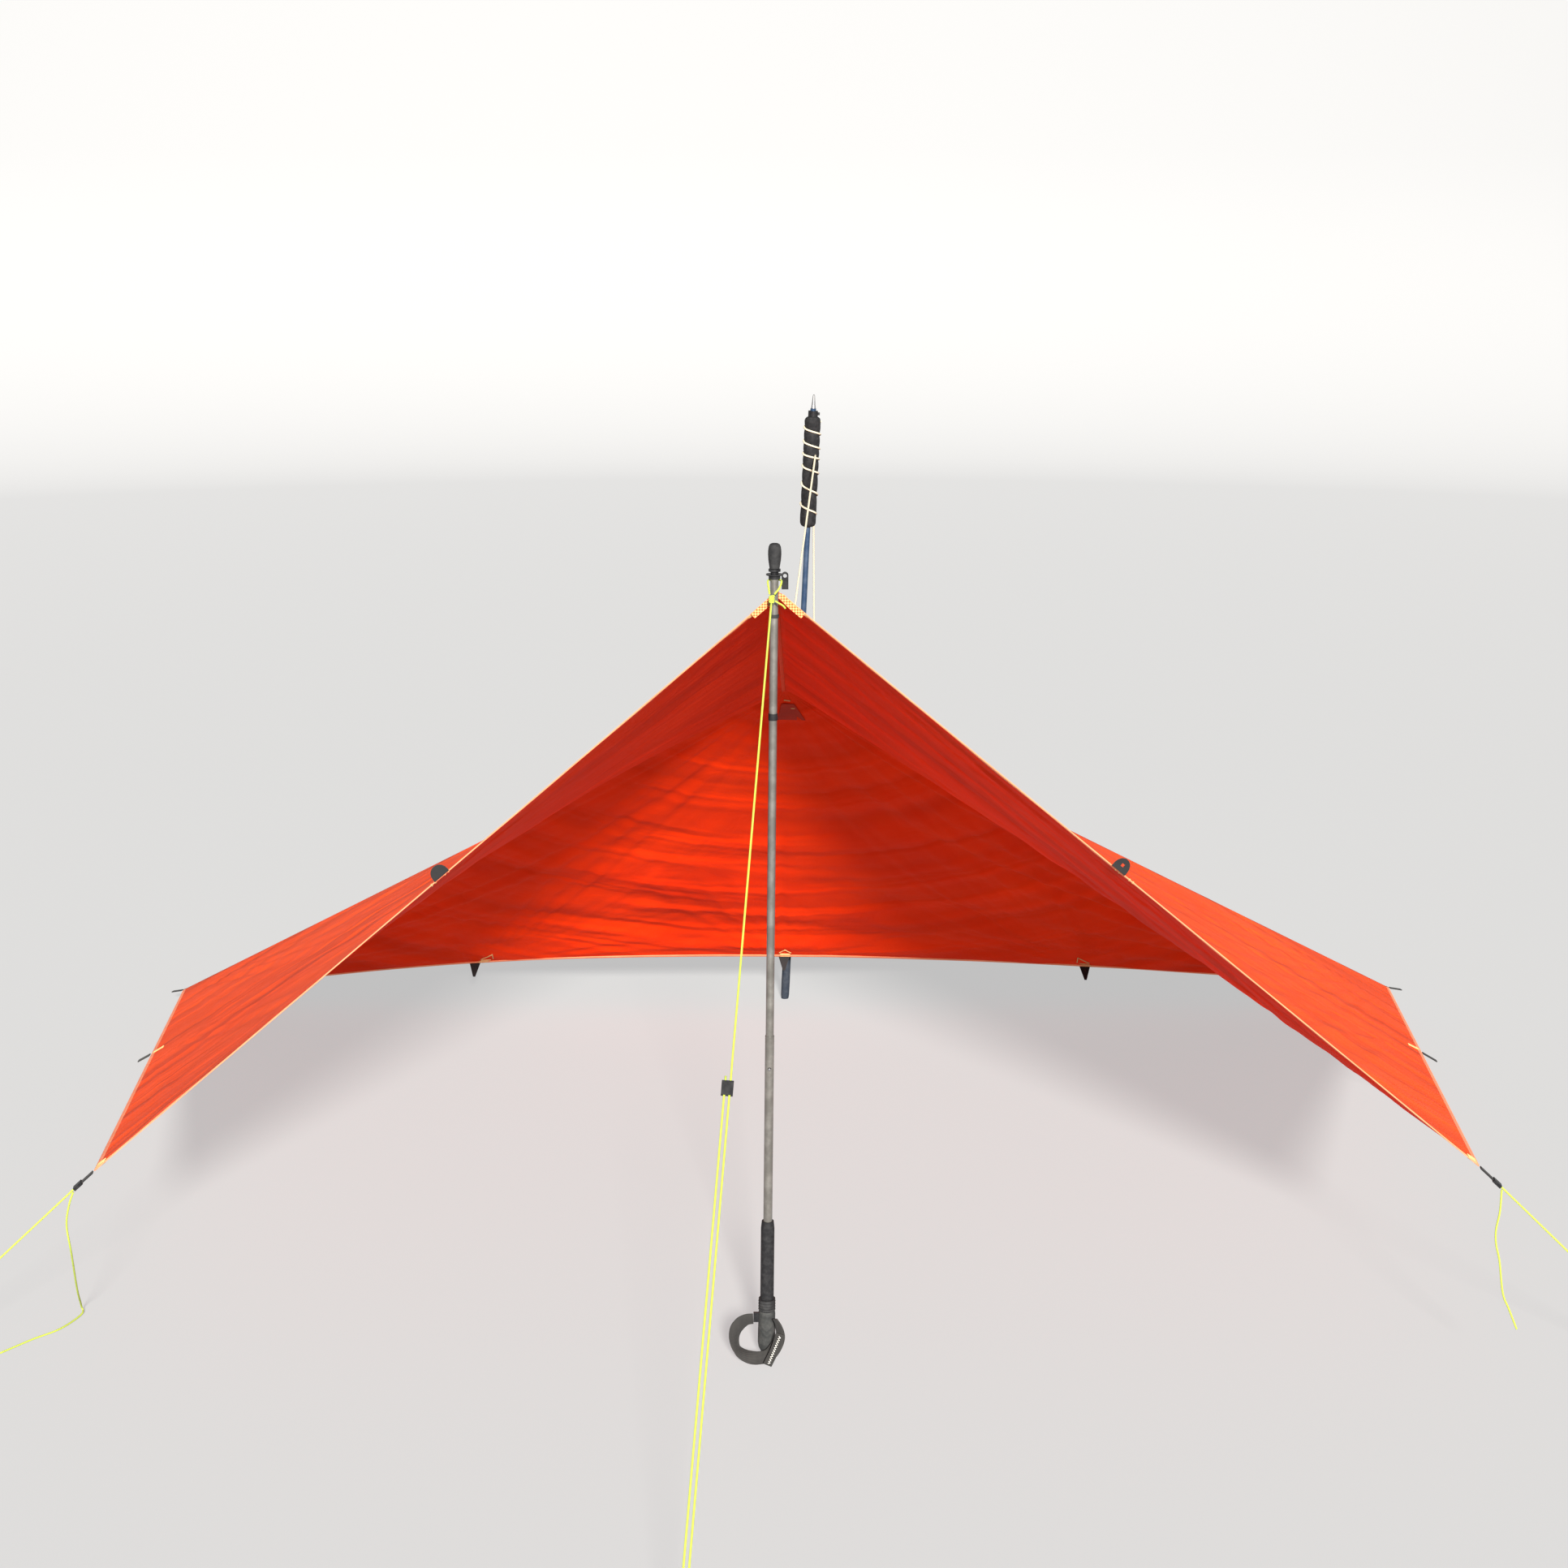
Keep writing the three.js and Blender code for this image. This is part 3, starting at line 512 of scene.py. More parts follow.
def loop_with_knot(name, centre, toward, radius, node_name, mat):
    """Eye at a guyline's end: a ring lying flat and a wound knot where it closes."""
    out = np.array((toward[0], toward[1], 0.0))
    out /= np.linalg.norm(out)
    side = np.array((-out[1], out[0], 0.0))
    knot = centre - out * KNOT_OUT
    closing = knot + (0, 0, 1.5)
    points = []
    for k in range(1, 28):
        angle = math.radians(200 + 320 * k / 28)
        points.append(centre + EYE_R * (math.cos(angle) * out + math.sin(angle) * side))
    ring = tube_mesh(name, spline(metres([closing] + points + [closing]), 90), radius * MM, 10)
    turns = []
    for k in range(60):
        angle = 2 * math.pi * k / 15
        turns.append(knot + out * (-4 + 8 * k / 59) + side * 3.0 * math.cos(angle)
                     + np.array((0, 0, KNOT_RISE + 2.0 * math.sin(angle))))
    winding = tube_mesh(name + "_turns", spline(metres(turns), 120), radius * MM * 0.85, 8)
    obj = new_object(name, ring, "shelter", [mat])
    coil = new_object(name + "_turns", winding, "shelter", [mat])
    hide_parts(node_name)
    return [obj, coil]


left_lock_end = lock_end(FRONT_LEFT, LEFT_LOOP, 22)
right_lock_end = lock_end(FRONT_RIGHT, RIGHT_LOOP, 26)
left_eye = loop_with_knot("left_eye", LEFT_LOOP, unit(FRONT_LEFT, LEFT_LOOP), 1.5, "left_ground_loop",
                          CORD)
right_eye = loop_with_knot("right_eye", RIGHT_LOOP, unit(FRONT_RIGHT, RIGHT_LOOP), 1.5, "right_ground_loop",
                           CORD)
rear_eye = loop_with_knot("rear_eye", REAR_LOOP, unit(rear_at(1262), REAR_LOOP), 2.0, "rear_ground_loop",
                          ROPE)

add_cord("left_line", metres(ground_route(left_lock_end, LEFT_LOOP)), CORD_R, CORD, "cord", 120,
         ["left_guyline"], far_end="knot", stiffness="limp", lay="taut", with_pieces=left_eye)
add_cord("right_line", metres(ground_route(right_lock_end, RIGHT_LOOP)), CORD_R, CORD, "cord", 120,
         ["right_guyline"], far_end="knot", stiffness="limp", lay="taut", with_pieces=right_eye)
LEFT_TAIL = [left_lock_end + (0, -5.5, -3), (-1061.7, -85, 299.5), (-1070.9, -75, 261.6),
             (-1074.7, -50, 202.9), (-1104, 58, 90), (-1131, 158, 14), (-1129, 150, 2.6), (-1150, 99, 1.6),
             (-1184, 62, 1.6), (-1221, 15, 1.6)]
RIGHT_TAIL = [right_lock_end + (0, -5.5, -3), (1110.6, -114, 301.8), (1106.8, -114, 272),
              (1108.7, -114, 248.1), (1115.6, -114, 221.4), (1124.4, -114, 168.4), (1135.6, -114, 141.7),
              (1150, -114, 108)]
add_cord("left_tail", metres(LEFT_TAIL), CORD_R, CORD, "cord", 160, ["left_line_tail"],
         far_end="bare", stiffness="limp", lay="hanging")
add_cord("right_tail", metres(RIGHT_TAIL), CORD_R, CORD, "cord", 160, ["right_line_tail"],
         far_end="bare", stiffness="limp", lay="hanging")

GUY = unit(KNOT_AT, FRONT_LOOP)
guy_top = KNOT_AT + GUY * 6.6
guy_end = KNOT_AT + (FRONT_LOOP - KNOT_AT) * 0.98
runner = KNOT_AT + (FRONT_LOOP - KNOT_AT) * 0.47
aside = np.array((-7.0, 0.0, 0.0))
return_top = runner - GUY * 17 + aside
bend_from = guy_end + GUY * 0.5
fx, fy, fz = FRONT_LOOP
FRONT_BEND = [bend_from, (fx + 2, fy + 7, 11), (fx + 5, fy - 4, 2.2), (fx + 3, fy - 12, 1.6),
              (fx - 3.5, fy - 15, fz), (fx - 10, fy - 12, 1.6), (fx - 12, fy - 4, 2.2), (fx - 9, fy + 7, 11),
              bend_from + aside]
bend_mesh = tube_mesh("front_line_bend", spline(metres(FRONT_BEND), 60), CORD_R, 10)
front_bend = new_object("front_line_bend", bend_mesh, "shelter", [CORD])
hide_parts("front_ground_loop")
add_cord("front_line", metres([guy_top, (guy_top + guy_end) / 2, guy_end]), CORD_R, CORD, "cord", 160,
         ["front_guyline_upper"], far_end="knot", stiffness="limp", lay="taut", with_pieces=[front_bend])
add_cord("front_line_return", metres([return_top, (return_top + guy_end + aside) / 2, guy_end + aside]),
         CORD_R, CORD, "cord", 120, ["front_guyline_lower"], far_end="knot", stiffness="limp", lay="taut")

COLLAR_LOOP = [(7, -14, 1228.6), (5.6, -11.5, 1238), (4.4, -4, 1246), (7.5, 9, 1247), (15, 11.5, 1247),
               (22.6, 6, 1246.5), (24.4, -3, 1245), (21, -11, 1237), (14, -14.5, 1228.6)]
add_cord("front_line_collar", metres(COLLAR_LOOP), CORD_R, CORD, "cord", 70, ["front_guyline_collar_loop"],
         far_end="knot", stiffness="limp", lay="taut")
FRONT_END = [(15.2, -17.5, 1219.6), (21, -18, 1216), (26.5, -17, 1212.5), (30, -15, 1208)]
end_mesh = tube_mesh("front_line_end", spline(metres(FRONT_END), 24), CORD_R * 0.9, 10)
front_end = new_object("front_line_end", end_mesh, "shelter", [CORD])
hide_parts("front_guyline_tail")
knot_turns = []
for k in range(72):
    angle = 2 * math.pi * k / 18
    knot_turns.append(KNOT_AT + np.array((3.0 * math.cos(angle) + 0.8 * math.sin(k * 0.35),
                                          2.6 * math.sin(angle), 4.6 - 9.2 * k / 71)))
knot_mesh = tube_mesh("front_line_knot", spline(metres(knot_turns), 150), CORD_R, 8)
front_knot = new_object("front_line_knot", knot_mesh, "shelter", [CORD])
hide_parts("front_guyline_knot")

SPIRAL = []
SPIRAL_HEIGHTS = (1311, 1283, 1252, 1230, 1199, 1153, 1111)
for turn in range(6):
    for k in range(8):
        angle = 2 * math.pi * k / 8
        height = SPIRAL_HEIGHTS[turn] + (SPIRAL_HEIGHTS[turn + 1] - SPIRAL_HEIGHTS[turn]) * k / 8
        SPIRAL.append(rear_at(height, SPIRAL_R * math.cos(angle), SPIRAL_R * math.sin(angle)))
SPIRAL.append(rear_at(SPIRAL_HEIGHTS[-1], SPIRAL_R, 0))
add_cord("rear_wrap", metres(SPIRAL), ROPE_R, ROPE, "rope", 420, ["rear_rope_wrap"],
         far_end="object", stiffness="limp", lay="taut")


SLEEVE_LOW, SLEEVE_HIGH = 1083.0, 1320.0
SLEEVE_WAIST = 14.6
SLEEVE_SWELL = 2.9


def sleeve_radius(height, angle):
    """Foam squeezed to its waist under each turn of rope and swelling between two turns."""
    share = (angle % (2 * math.pi)) / (2 * math.pi)
    grooves = [a + (b - a) * share for a, b in zip(SPIRAL_HEIGHTS, SPIRAL_HEIGHTS[1:])]
    levels = sorted([SLEEVE_LOW - 5.0, SLEEVE_HIGH + 5.0] + grooves)
    radius = SLEEVE_WAIST
    for low, high in zip(levels, levels[1:]):
        if low <= height <= high:
            radius += SLEEVE_SWELL * math.sin(math.pi * (height - low) / (high - low)) ** 0.55
    return radius


def sleeve_mesh():
    rings, around = 120, 40
    points = []
    for i in range(rings):
        level = SLEEVE_LOW + (SLEEVE_HIGH - SLEEVE_LOW) * i / (rings - 1)
        from_end = min(level - SLEEVE_LOW, SLEEVE_HIGH - level)
        taper = min(1.0, 0.70 + 0.30 * math.sqrt(max(from_end, 0.0) / 7.0))
        for k in range(around):
            angle = 2 * math.pi * k / around
            r = sleeve_radius(level, angle) * taper
            points.append(rear_at(level, r * math.cos(angle), r * math.sin(angle)) * MM)
    return weld(make_mesh("foam_sleeve", points, loft_faces(rings, around)))


foam_sleeve = new_object("foam_sleeve", sleeve_mesh(), "shelter", [FOAM])
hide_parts("rear_pole_sleeve")
rope_exit = rear_at(1240) + np.array((9.0, -22.0, 0.0))
tie_point = np.array((30.0, 812.0, 935.0))
add_cord("ridge_rope", metres([rope_exit, (rope_exit + tie_point) / 2, tie_point]), ROPE_R, ROPE, "rope", 120,
         ["rear_ridge_rope"], far_end="object", stiffness="limp", lay="taut")
rear_top = rear_at(1262) + np.array((4.0, 22.5, 0.0))
add_cord("rear_line", metres(ground_route(rear_top, REAR_LOOP)), ROPE_R, ROPE, "rope", 140, ["rear_guyline"],
         far_end="knot", stiffness="limp", lay="taut", with_pieces=rear_eye)

# ---------------------------------------------------------------- tarp cloth
LEFT_SLACK = 0.35
RIGHT_SLACK = 0.80
BACK_EDGE = [BACK_LEFT, (-668, 1690, 104), (28, 1680, 122), (705, 1685, 98), BACK_RIGHT]
GRID = 120
CLOTH_THICKNESS = 0.0009


def soft_min(a, b, width):
    """Smaller of two values, blended over the width where they meet."""
    return 0.5 * (a + b - np.sqrt((a - b) ** 2 + width ** 2))


def streaks(angle, distance, count, seed):
    """Folds that radiate from a corner: a sum of waves in angle, fading with distance."""
    random = np.random.default_rng(seed)
    total = np.zeros_like(angle)
    for _ in range(count):
        frequency = random.uniform(14, 60)
        size = random.uniform(0.3, 1.0)
        total += size * np.sin(frequency * angle + random.uniform(0, 6.28)) / math.sqrt(frequency)
    return total * np.exp(-distance)


def roof(front, back, slack, crease, seed):
    """One side of the roof as a grid: rows run front to back, columns from the ridge to the edge."""
    v, u = np.meshgrid(np.linspace(0, 1, GRID + 1), np.linspace(0, 1, GRID + 1), indexing="ij")
    u, v = u[..., None], v[..., None]
    left = PEAK + (RIDGE_END - PEAK) * v
    right = front + (back - front) * v
    flat = left + (right - left) * u
    twist = PEAK - front - RIDGE_END + back
    fold = slack * np.maximum(soft_min(u * v, (1 - u) * (1 - v), crease), 0)
    edge = (u * (1 - u) * v * (1 - v)) * 16
    points = flat - twist * fold
    du, dv = u[..., 0], v[..., 0]
    lift = np.zeros_like(du)
    corners = ((0, 0, 1.0), (1, 0, 0.3), (0, 1, 0.9), (1, 1, 1.2), (0.49, 0, 0.35), (1, 0.55, 0.5))
    for k, (cu, cv, size) in enumerate(corners):
        angle = np.arctan2(dv - cv + 1e-6, du - cu + 1e-6)
        distance = np.hypot(du - cu, dv - cv)
        lift += size * 6.5 * streaks(angle, distance * 1.9, 12, seed + k) * np.clip(distance * 9, 0, 1)
    lift += np.cos((du + dv - 1) * 26 + seed) * np.exp(-((du + dv - 1) / 0.22) ** 2) * 0.8
    mask = np.clip(edge[..., 0] * 3.0, 0, 1) ** 0.6
    free = np.clip(16 * du * (1 - du), 0, 1)
    points[..., 2] += lift * mask
    flap = 2.0 * np.sin(du * 41 + seed) * np.exp(-dv * 18) * free
    points[..., 2] += flap * np.clip(dv * 60, 0, 1)
    return points


def back_wall():
    """Triangular back wall: rows run from the ridge end down to the hem, columns from left to right."""
    t, s = np.meshgrid(np.linspace(0, 1, GRID + 1), np.linspace(0, 1, 2 * GRID + 1), indexing="ij")
    edge = spline(BACK_EDGE, 401)
    arc = np.linspace(0, 1, 401)
    bottom = np.stack([np.interp(s, arc, edge[:, k]) for k in range(3)], axis=-1)
    points = RIDGE_END + (bottom - RIDGE_END) * t[..., None]
    inner = np.clip(s * (1 - s) * 4 * 2.2, 0, 1)
    lift = np.zeros_like(s)
    for k, (cs, size) in enumerate(((0.25, 1.0), (0.5, 0.8), (0.75, 1.0))):
        angle = np.arctan2(1.0 - t + 1e-6, (s - cs) * 2.6 + 1e-6)
        distance = np.hypot(1 - t, (s - cs) * 2.6)
        lift += size * 8.0 * streaks(angle, distance * 2.0, 12, 70 + k) * np.clip(distance * 9, 0, 1)
    for k, cs in enumerate((0.0, 1.0)):
        angle = np.arctan2(1.0 - t + 0.02, (s - cs) * 2.6)
        distance = np.hypot(1 - t, (s - cs) * 2.6)
        lift += 14.0 * streaks(angle, distance * 0.8, 12, 80 + k)
    lift += 2.6 * np.sin(t * 46 + 2.4 * np.sin(s * 7.0)) * np.exp(-((t - 0.86) / 0.16) ** 2)
    lift += 1.5 * streaks((s - 0.5) * 2.2, t * 0.4, 9, 91) * t
    sag = -9.0 * np.sin(math.pi * t) * inner
    points[..., 2] += (lift * np.clip((1 - t) * 20, 0.25, 1) + sag) * inner * np.clip(t * 6, 0, 1)
    return points


def grid_faces(rows, columns, offset):
    a = np.arange(rows - 1)[:, None] * columns + np.arange(columns - 1)[None, :] + offset
    a = a.reshape(-1)
    return np.stack([a, a + 1, a + columns + 1, a + columns], axis=1)


left_roof = roof(FRONT_LEFT, BACK_LEFT, LEFT_SLACK, 0.10, 3)
right_roof = roof(FRONT_RIGHT, BACK_RIGHT, RIGHT_SLACK, 0.022, 11)
wall = back_wall()
wall[:, 0] = left_roof[-1]
wall[:, -1] = right_roof[-1]


def sheet_uvs(points, flip, base):
    """Distances along the cloth in metres, so that its weave keeps one size everywhere."""
    step_u = np.linalg.norm(np.diff(points, axis=1), axis=2)
    step_v = np.linalg.norm(np.diff(points, axis=0), axis=2)
    u = np.concatenate([np.zeros((points.shape[0], 1)), np.cumsum(step_u, axis=1)], axis=1)
    v = np.concatenate([np.zeros((1, points.shape[1])), np.cumsum(step_v, axis=0)], axis=0)
    return np.stack([flip * u * MM + base[0], v * MM + base[1]], axis=-1)


def build_tarp():
    points, faces, uvs, offset = [], [], [], 0
    for sheet, flip, base in ((left_roof, -1.0, (-2.0, 0.0)), (right_roof, 1.0, (2.0, 0.0)),
                              (wall, 1.0, (0.0, 3.0))):
        rows, columns = sheet.shape[:2]
        points.append(sheet.reshape(-1, 3) * MM)
        uvs.append(sheet_uvs(sheet, flip, base).reshape(-1, 2))
        faces.append(grid_faces(rows, columns, offset))
        offset += rows * columns
    mesh = make_mesh("tarp_cloth", np.vstack(points), np.vstack(faces), np.vstack(uvs))
    return weld(mesh, 2e-5)


tarp_mesh = build_tarp()
if sum(p.normal.z for p in tarp_mesh.polygons) < 0:
    tarp_mesh.flip_normals()
# The inner layer of the thickened sheet gets the darker inner colour, painted shade for the inside of the
# shelter.
tarp = new_object("tarp_cloth", tarp_mesh, "shelter", [OUTSIDE, SHADED_INSIDE])
solid = tarp.modifiers.new("cloth_thickness", "SOLIDIFY")
solid.thickness = CLOTH_THICKNESS
solid.offset = 0.0
solid.material_offset = 1
solid.material_offset_rim = 0
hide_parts("tarp_left_roof", "tarp_right_roof", "tarp_back_wall")


def edge_strip(name, edge, inward, width, thickness, mat):
    """Folded hem that wraps an edge of the cloth; edge and inward are arrays of points on the cloth."""
    edge = np.array(edge) * MM
    across = unit_rows(np.array(inward) * MM - edge)
    normal = unit_rows(np.cross(tangents(edge), across))
    along = distances(edge)
    outline = [(-0.06, 0.0), (-0.02, 0.8), (0.25, 1.0), (0.75, 0.9), (1.0, 0.55), (1.0, -0.55), (0.75, -0.9),
               (0.25, -1.0), (-0.02, -0.8)]
    points, uvs = [], []
    for i in range(len(edge)):
        for a, b in outline:
            points.append(edge[i] + across[i] * a * width + normal[i] * b * thickness)
            uvs.append((along[i], max(a, 0.0)))
    mesh = weld(make_mesh(name, points, loft_faces(len(edge), len(outline)), uvs))
    return new_object(name, mesh, "shelter", [mat])


hems = [
    edge_strip("hem_front_left", left_roof[0], left_roof[3], 0.013, 0.0011, HEM),
    edge_strip("hem_front_right", right_roof[0], right_roof[3], 0.013, 0.0011, HEM),
    edge_strip("hem_side_left", left_roof[:, -1], left_roof[:, -4], 0.011, 0.0011, HEM),
    edge_strip("hem_side_right", right_roof[:, -1], right_roof[:, -4], 0.011, 0.0011, HEM),
    edge_strip("hem_back", wall[-1], wall[-4], 0.011, 0.0011, HEM),
    edge_strip("ridge_seam", left_roof[:, 0], left_roof[:, 3], 0.008, 0.0010, SEAM),
]


def on(sheet, row, column):
    """Point of a cloth grid at fractions row and column, in millimetres."""
    r = row * (sheet.shape[0] - 1)
    c = column * (sheet.shape[1] - 1)
    r0, c0 = min(int(r), sheet.shape[0] - 2), min(int(c), sheet.shape[1] - 2)
    fr, fc = r - r0, c - c0
    top = sheet[r0, c0] * (1 - fc) + sheet[r0, c0 + 1] * fc
    low = sheet[r0 + 1, c0] * (1 - fc) + sheet[r0 + 1, c0 + 1] * fc
    return top * (1 - fr) + low * fr


def normal_at(sheet, row, column):
    """Direction straight out of a cloth grid at fractions row and column."""
    e = 0.01
    a = on(sheet, min(row + e, 1), column) - on(sheet, max(row - e, 0), column)
    b = on(sheet, row, min(column + e, 1)) - on(sheet, row, max(column - e, 0))
    n = np.cross(b, a)
    return n / np.linalg.norm(n)


TACK_THICKNESS = 3.4


def tacks(name, sheet, lines, width=2.2):
    """Rows of thick stitching through the cloth as one piece; each line is two (row, column) pairs."""
    joined = bmesh.new()
    for start, end in lines:
        route = [on(sheet, start[0] + (end[0] - start[0]) * t, start[1] + (end[1] - start[1]) * t)
                 for t in np.linspace(0, 1, 7)]
        path = np.array(route) * MM
        along = path[-1] - path[0]
        n = normal_at(sheet, (start[0] + end[0]) / 2, (start[1] + end[1]) / 2)
        side = np.cross(along / np.linalg.norm(along), n)
        part = band_mesh("tack_part", path, width * MM, TACK_THICKNESS * MM, side)
        joined.from_mesh(part)
        bpy.data.meshes.remove(part)
    mesh = bpy.data.meshes.new(name)
    joined.to_mesh(mesh)
    joined.free()
    return new_object(name, mesh, "shelter", [THREAD])


stitching = []
for name, sheet, middle in (("left", left_roof, 0.486), ("right", right_roof, 0.488)):
    lines = [((0.001, middle + d), (0.012, middle + d)) for d in (-0.012, -0.007, 0.007, 0.012)]
    stitching.append(tacks("front_tab_tacks_" + name, sheet, lines))
    lines = [((0.002, 0.006 + 0.011 * k), (0.010, 0.010 + 0.011 * k)) for k in range(3)]
    lines += [((0.004, 0.010), (0.010, 0.040)), ((0.001, 0.012), (0.006, 0.042))]
    stitching.append(tacks("peak_tacks_" + name, sheet, lines, 2.6))
    lines = [((0.002 + 0.006 * k, 0.985), (0.006 + 0.006 * k, 0.998)) for k in range(3)]
    stitching.append(tacks("corner_tacks_" + name, sheet, lines))
    lines = [((0.548 + 0.006 * k, 0.978), (0.548 + 0.006 * k, 0.998)) for k in range(2)]
    stitching.append(tacks("side_tacks_" + name, sheet, lines, 3.0))
for name, s in (("left", 0.25), ("centre", 0.5), ("right", 0.75)):
    lines = [((0.997 - 0.006 * k, s - 0.0042), (0.997 - 0.006 * k, s + 0.0042)) for k in range(3)]
    lines += [((0.980, s - 0.0052), (0.958, s)), ((0.980, s + 0.0052), (0.958, s))]
    stitching.append(tacks("back_loop_tacks_" + name, wall, lines, 1.8))
lines = [((0.030, 0.47), (0.030, 0.62)), ((0.052, 0.46), (0.052, 0.64))]
stitching.append(tacks("ridge_patch_tacks", wall, lines, 2.0))
hems += stitching

# ---------------------------------------------------------------- wrist strap
STRAP_ROUTE = [(-20.4, -18.5, 78), (-31, -19.5, 77), (-40, -20, 71.5), (-47.6, -21, 60.8), (-50.2, -22, 44.6),
               (-45.6, -24, 28), (-33.4, -26, 18.5), (-15.5, -27, 14.6), (3.7, -28, 19.7), (15.5, -27, 34.6),
               (22.2, -25, 51.7), (19.3, -21.5, 66.4), (13, -19.5, 78)]
STRAP_POINTS = 90
strap_path = spline(metres(STRAP_ROUTE), STRAP_POINTS)
strap_t = np.linspace(0, 1, STRAP_POINTS)
# The tape twists: broad side forward at the wedge and along the ground, edge forward at the left.
twist_keys = ((0.0, 1.35), (0.16, 1.3), (0.27, 0.75), (0.36, 0.35), (0.46, 0.7), (0.56, 1.3), (0.72, 1.25),
              (0.86, 0.8), (1.0, 0.6))
turn = np.interp(strap_t, [k for k, _ in twist_keys], [a for _, a in twist_keys])
FORWARD = np.array((0.0, -1.0, 0.0))
in_plane = unit_rows(np.cross(tangents(strap_path), FORWARD))
strap_sides = np.cos(turn)[:, None] * FORWARD + np.sin(turn)[:, None] * in_plane
strap_widths = np.interp(strap_t, (0, 0.1, 0.3, 0.5, 1), (0.020, 0.023, 0.021, 0.021, 0.018))
strap_mesh = band_mesh("wrist_tape", strap_path, strap_widths, 0.0022, strap_sides)
strap = new_object("wrist_tape", strap_mesh, "wrist_loop", [STRAP])
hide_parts("wrist_strap")
END_FROM = np.array((22.0, -39.5, 62.0))
END_TO = np.array((2.0, -41.5, 10.0))
END_ACROSS = np.array((0.93, 0.0, -0.36))
end_path = spline(metres([END_FROM, (END_FROM + END_TO) / 2 + (1.5, -1.0, 0), END_TO]), 30)
end_mesh = band_mesh("wrist_tape_end", end_path, 0.014, 0.0018, END_ACROSS)
new_object("wrist_tape_end", end_mesh, "wrist_loop", [STRAP])
zigzag = []
for k in range(25):
    base = END_FROM + (END_TO - END_FROM) * (0.06 + 0.88 * k / 24)
    zigzag.append(base + END_ACROSS * (1.7 if k % 2 else -1.7) + np.array((0.8, -2.2, 0)))
zigzag_mesh = tube_mesh("wrist_stitch", metres(zigzag), 0.0006, 6, 0.0)
new_object("wrist_stitch", zigzag_mesh, "wrist_loop", [STITCH])

# ---------------------------------------------------------------- handle with its raised chevron
HANDLE_OUTER = ((6.6, 0.0), (7.6, 8.0), (9.4, 15.0), (12.6, 22.0), (13.9, 30.0), (13.7, 50.0), (13.2, 66.0),
                (13.4, 78.0), (12.8, 83.0), (12.2, 84.0))


HANDLE_TOP = 84.0
BORE_R = 7.3
BORE_FLOOR = 34.0
RIDGE_HEIGHT = 0.7
RIDGE_WIDTH = 1.5
RIDGE_GAP = 9.0


def handle_mesh():
    """Turned handle with a bore from the top; a double ridge in a V runs across its front."""
    levels = np.linspace(0.0, HANDLE_TOP, 113)
    outer = np.interp(levels, [z for _, z in HANDLE_OUTER], [r for r, _ in HANDLE_OUTER])
    rings = [(r, z, True) for r, z in zip(outer, levels)]
    rings += [(BORE_R, HANDLE_TOP, False), (BORE_R, BORE_FLOOR, False)]
    around = 56
    points = []
    for r, z, outside in rings:
        for k in range(around):
            angle = 2 * math.pi * k / around
            radius = r
            from_front = abs((angle + math.pi / 2 + math.pi) % (2 * math.pi) - math.pi)
            if outside and 24.0 < z < 80.0:
                above = z - (44.0 + 13.0 * from_front)
                ridge = math.exp(-(above / RIDGE_WIDTH) ** 2)
                ridge += 0.7 * math.exp(-((above - RIDGE_GAP) / RIDGE_WIDTH) ** 2)
                radius += RIDGE_HEIGHT * ridge * max(0.0, 1.0 - from_front / 1.5)
            x = radius * math.cos(angle) + math.sin(FRONT_LEAN) * z
            points.append(np.array((x, radius * math.sin(angle), z)) * MM)
    return weld(make_mesh("handle_rubber", points, loft_faces(len(rings), around)))


handle_rubber = new_object("handle_rubber", handle_mesh(), "grip_section", [GRIP])
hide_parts("handle")
split_sharp(handle_rubber, 50)

# ---------------------------------------------------------------- tabs on the front hem
TAB_HALF_THICKNESS = 1.1
HOLE_HALF = 2.5


def round_tab(name, corner, share, node_name, half, height, hole):
    """D-shaped webbing tab standing on the front hem and facing forward, with or without a square hole."""
    along = unit(PEAK, corner)
    forward = FORWARD - along * along.dot(FORWARD)
    forward /= np.linalg.norm(forward)
    rise = np.cross(forward, along)
    if rise[2] < 0:
        rise = -rise
    base = PEAK + (corner - PEAK) * share + np.array((0.0, -4.0, 0.0)) + rise * 0.8
    outline = [(half * (1 - k / 5.0), 0.0) for k in range(11)]
    for k in range(1, 24):
        angle = math.pi * (1 - k / 24)
        outline.append((half * math.cos(angle), height * math.sin(angle) ** 0.75))
    middle = height * 0.48
    inner = []
    for a, b in outline:
        angle = math.atan2(b - middle, a)
        r = HOLE_HALF / max(abs(math.cos(angle)), abs(math.sin(angle)))
        inner.append((r * math.cos(angle), middle + r * math.sin(angle)))
    points = []
    for level in (-TAB_HALF_THICKNESS, TAB_HALF_THICKNESS):
        for loop in ([outline, inner] if hole else [outline]):
            points += [(base + along * a + rise * b + forward * level) * MM for a, b in loop]
    count = len(outline)
    faces = []
    for first, second in ([(0, 1), (1, 3), (3, 2), (2, 0)] if hole else [(0, 1)]):
        for k in range(count):
            j = (k + 1) % count
            faces.append((first * count + k, first * count + j, second * count + j, second * count + k))
    if not hole:
        faces.append(tuple(range(count))[::-1])
        faces.append(tuple(count + k for k in range(count)))
    tab = new_object(name, weld(make_mesh(name, points, faces)), "shelter", [WEBBING])
    split_sharp(tab, 40)
    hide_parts(node_name)


round_tab("tab_left", FRONT_LEFT, 0.482, "front_tab_left", 14.0, 18.5, False)
round_tab("tab_right", FRONT_RIGHT, 0.478, "front_tab_right", 12.5, 21.0, True)

